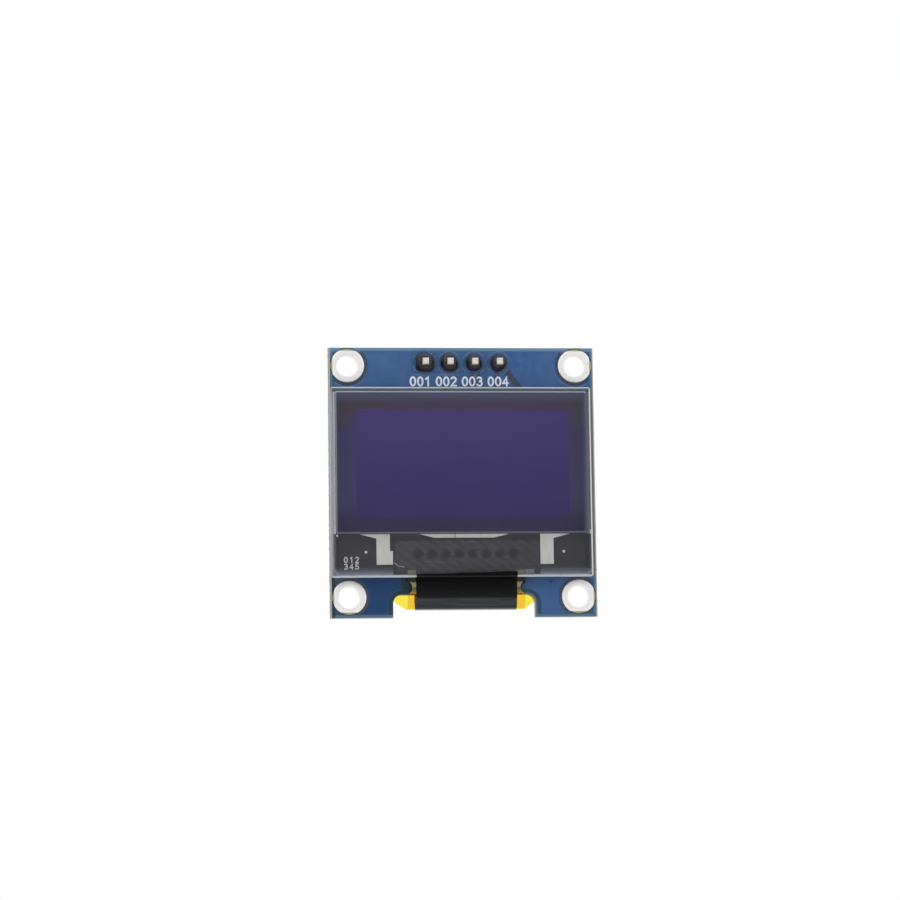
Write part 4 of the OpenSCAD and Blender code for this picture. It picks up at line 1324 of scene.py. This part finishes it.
def add_fillet(shape, chip, sign, level, height, across=8, along=10):
    """One fillet: a hollow slope from the end cap out to the edge of its pad, lower towards its sides."""
    rows = []
    slump = random.uniform(0.9, 1.08)
    for i in range(along + 1):
        t = i / along
        row = []
        for j in range(across + 1):
            u = 2 * j / across - 1
            rise = height * slump * (1 - t) ** 2.1 * (1 - 0.3 * u**4) + 0.03 * (1 - t**6) * (1 - u**6)
            place = chip_point(chip, sign * (CHIP_HALF + FILLET * t), CHIP_SIDE * u * (1 - 0.08 * t**4))
            row.append(shape.verts.new((*place, level - rise)))
        rows.append(row)
    add_faces(shape, rows)


def part_marks():
    """Plain numbers on the resistors that lie across the board, and on the regulator."""
    shape = bmesh.new()
    coat, line, rise = Box("resistor_coats").back, 0.05, 0.004
    for chip in CHIPS[8:]:
        add_number(shape, "103", chip.x, chip.y - 0.18, 0.36, line, coat, side=-1, rise=rise)
    add_number(shape, "1234", REGULATOR.x, REGULATOR.y - 0.22, 0.45, line, REGULATOR.back, side=-1, rise=rise)
    set_piece("part_marks", shape, ["white_ink"])


# ---- print ----


def front_print():
    """Pale print on the front: plain pin numbers, and traces of rings and of a line round the pins."""
    shape = bmesh.new()
    base = MASK.front - THIN
    middle, pitch = (PINS[0].x + PINS[3].x) / 2, 2.68
    for n in range(4):
        spot = middle + (n - 1.5) * pitch - 0.24
        add_number(shape, f"00{n + 1}", spot, 9.82, 0.88, 0.2, base, pitch=0.86)
    set_piece("pin_numbers", shape, ["white_ink"])
    faint = bmesh.new()
    for pin in PINS:
        add_stroke(faint, arc(pin.x, pin.y, 1.2, 35, 150, 16), 0.07, base, 0.006)
        add_stroke(faint, arc(pin.x, pin.y, 1.2, 200, 330, 16), 0.06, base, 0.005)
    add_stroke(faint, [(PINS[0].x - 1.3, 10.93), (PINS[1].x + 1.0, 10.93)], 0.07, base, 0.006)
    for x, low in ((-HOLE_X, 235), (HOLE_X, 215)):
        add_stroke(faint, arc(x, HOLE_Y, 2.2, low, low + 85, 16), 0.05, base, 0.005)
    set_piece("print_traces", faint, ["faint_ink"])


def back_print():
    """Pale print on the back: frames round the parts, plain part numbers, and the numbers of the pins."""
    shape = bmesh.new()
    base = BACK_MASK.back + THIN
    margin, high = 0.25, 0.62

    def lines(points, closed=False):
        add_stroke(shape, points, 0.13, base, 0.01, closed=closed, side=-1)

    def number(value, x, y, height=high):
        add_number(shape, str(value), x, y, height, 0.11, base, side=-1, rise=0.01)

    along, across = CHIP_HALF + FILLET + margin, CHIP_SIDE + margin
    for value, chip in zip((1, 2, 3, 4, 5, 7, 10, 11, 12, 13, 14, 15), CHIPS):
        lines([chip_point(chip, a * along, b * across) for a, b in ((-1, -1), (-1, 1), (1, 1), (1, -1))], True)
        number(value, chip.x, chip_point(chip, along, across)[1] + 0.2)
    pads = Box("regulator_pads")
    for x in (REGULATOR.left - margin, REGULATOR.right + margin):
        lines([(x, pads.bottom), (x, pads.top)])
    number(20, REGULATOR.x, pads.top + 0.25)
    block = Box("header_insulator")
    left, right, low = block.left - margin, block.right + margin, block.bottom - margin
    lines([(left, block.top), (left, low), (right, low), (right, block.top)])
    for n, pin in enumerate(PINS):
        number(n + 1, pin.x, low - 1.05, 0.8)
    number(1, TAIL_JOINTS.left - 1.5, TAIL_JOINTS.top - 0.8, 0.7)
    number(CONTACTS, TAIL_JOINTS.right + 1.7, TAIL_JOINTS.top - 0.8, 0.7)
    set_piece("back_print", shape, ["white_ink"])


def ledge_numbers():
    """Plain numbers in bare metal on the ledge, behind the glass."""
    shape = bmesh.new()
    for text, y in (("012", -8.4), ("345", -9.08)):
        add_number(shape, text, -11.56, y, 0.54, 0.1, GLASS.back + THIN, rise=2 * THIN, pitch=1.05)
    set_piece("ledge_numbers", shape, ["bus_metal"])


# ---- light, floor and camera ----


def camera_sees(tree, seen, lit, output):
    """The camera sees one shader directly, and light meets the other."""
    blend = tree.nodes.new("ShaderNodeMixShader")
    path = tree.nodes.new("ShaderNodeLightPath")
    tree.links.new(path.outputs["Is Camera Ray"], blend.inputs[0])
    tree.links.new(lit.outputs[0], blend.inputs[1])
    tree.links.new(seen.outputs[0], blend.inputs[2])
    tree.links.new(blend.outputs[0], output.inputs["Surface"])


def plain_white(node):
    """Sets a light source to plain white."""
    node.inputs["Color"].default_value = (1, 1, 1, 1)
    node.inputs["Strength"].default_value = 1.0
    return node


def plain_stage():
    """A pale floor and a white room that is dimmer behind the camera, with three soft lamps."""
    floor_mesh = bpy.data.meshes.new("floor")
    reach, level = 3.0, -0.066
    corners = [(x, y, level) for x, y in rectangle(-reach, reach, -reach, reach)]
    floor_mesh.from_pydata(corners, [], [(0, 1, 2, 3)])
    floor = bpy.data.objects.new("floor", floor_mesh)
    bpy.context.scene.collection.objects.link(floor)
    look = Look("floor")
    grain = look.noise(0.05, 3)
    look.set(Base_Color=look.mix(grain, "#f2f2f1", "#f8f8f7"), Roughness=look.spread(grain, 0.8, 0.9))
    camera_sees(look.tree, plain_white(look.node("ShaderNodeEmission")), look.shader, look.output)
    floor_mesh.materials.append(look.material)
    white_room()
    soft_lamp("key", (-0.28, -0.36, 0.34), 0.22, 0.42)
    soft_lamp("fill", (0.36, -0.3, 0.16), 0.26, 0.2)
    soft_lamp("back", (0.2, 0.4, 0.3), 0.3, 0.3)


def white_room():
    """White all round, dimmer towards the place of the camera, and plain white where the camera sees it."""
    world = bpy.data.worlds.new("white_room")
    bpy.context.scene.world = world
    world.use_nodes = True
    tree = world.node_tree
    tree.nodes.clear()
    output = tree.nodes.new("ShaderNodeOutputWorld")
    room, seen = (plain_white(tree.nodes.new("ShaderNodeBackground")) for _ in range(2))
    towards = tree.nodes.new("ShaderNodeVectorMath")
    towards.operation = "DOT_PRODUCT"
    tree.links.new(tree.nodes.new("ShaderNodeTexCoord").outputs["Generated"], towards.inputs[0])
    towards.inputs[1].default_value = Vector((0.1, -1.0, 0.16)).normalized()
    dim = tree.nodes.new("ShaderNodeMapRange")
    dim.interpolation_type = "SMOOTHSTEP"
    tree.links.new(towards.outputs["Value"], dim.inputs["Value"])
    edge, core = (math.cos(math.radians(angle)) for angle in (38, 15))
    for socket, value in (("From Min", edge), ("From Max", core), ("To Min", 0.95), ("To Max", 0.12)):
        dim.inputs[socket].default_value = value
    tree.links.new(dim.outputs["Result"], room.inputs["Strength"])
    camera_sees(tree, seen, room, output)


def soft_lamp(name, place, size, power):
    """A round lamp that faces the part."""
    data = bpy.data.lights.new(name, "AREA")
    data.shape = "DISK"
    data.size = size
    data.energy = power
    lamp = bpy.data.objects.new(name, data)
    lamp.location = place
    lamp.rotation_euler = Vector(place).to_track_quat("Z", "Y").to_euler()
    lamp.visible_camera = False
    bpy.context.scene.collection.objects.link(lamp)


def photo_camera():
    """A long lens a little below and to the left of the screen's axis, held with a slight roll."""
    turn, lift, roll = (math.radians(a) for a in (-6.0, -6.9, -0.78))
    distance, lens = 0.3, 117.24
    aim = Vector(((BOARD.x - 1.29) * MM, 0.0, (BOARD.y + 3.28) * MM))
    out = Vector((math.sin(turn) * math.cos(lift), -math.cos(turn) * math.cos(lift), math.sin(lift)))
    level = (-out).cross(Vector((0, 0, 1))).normalized()
    upright = level.cross(-out)
    right = level * math.cos(roll) + upright * math.sin(roll)
    up = upright * math.cos(roll) - level * math.sin(roll)
    data = bpy.data.cameras.new("photo_camera")
    data.sensor_width = 36
    data.lens = lens
    data.clip_start = 0.01
    data.clip_end = 20
    camera = bpy.data.objects.new("photo_camera", data)
    turned = Matrix((right, up, out)).transposed().to_4x4()
    camera.matrix_world = Matrix.Translation(aim + out * distance) @ turned
    bpy.context.scene.collection.objects.link(camera)
    bpy.context.scene.camera = camera
    bpy.context.scene.view_settings.view_transform = "Standard"


LOOKS = make_looks()
SLOT_OF = {part["node"]: part["material_slot"] for part in frame["record"]["subparts"]}
NODE_LOOK = {"solder_mask_front": "mask_front", "solder_mask_back": "mask_back", "regulator_leads": "solder"}

paint_cad_nodes()
board_edges()
for number, corner in enumerate(CORNERS, 1):
    mounting_ring(number, *corner)
solder_joints()
header_pins()
header_body()
clear_sheets()
border_wiring()
glass_ledge()
ledge_numbers()
flex_tail()
fold_tape()
tape_flap()
flex_tracks()
contact_joints()
chip_joints()
part_marks()
back_print()
front_print()
plain_stage()
photo_camera()
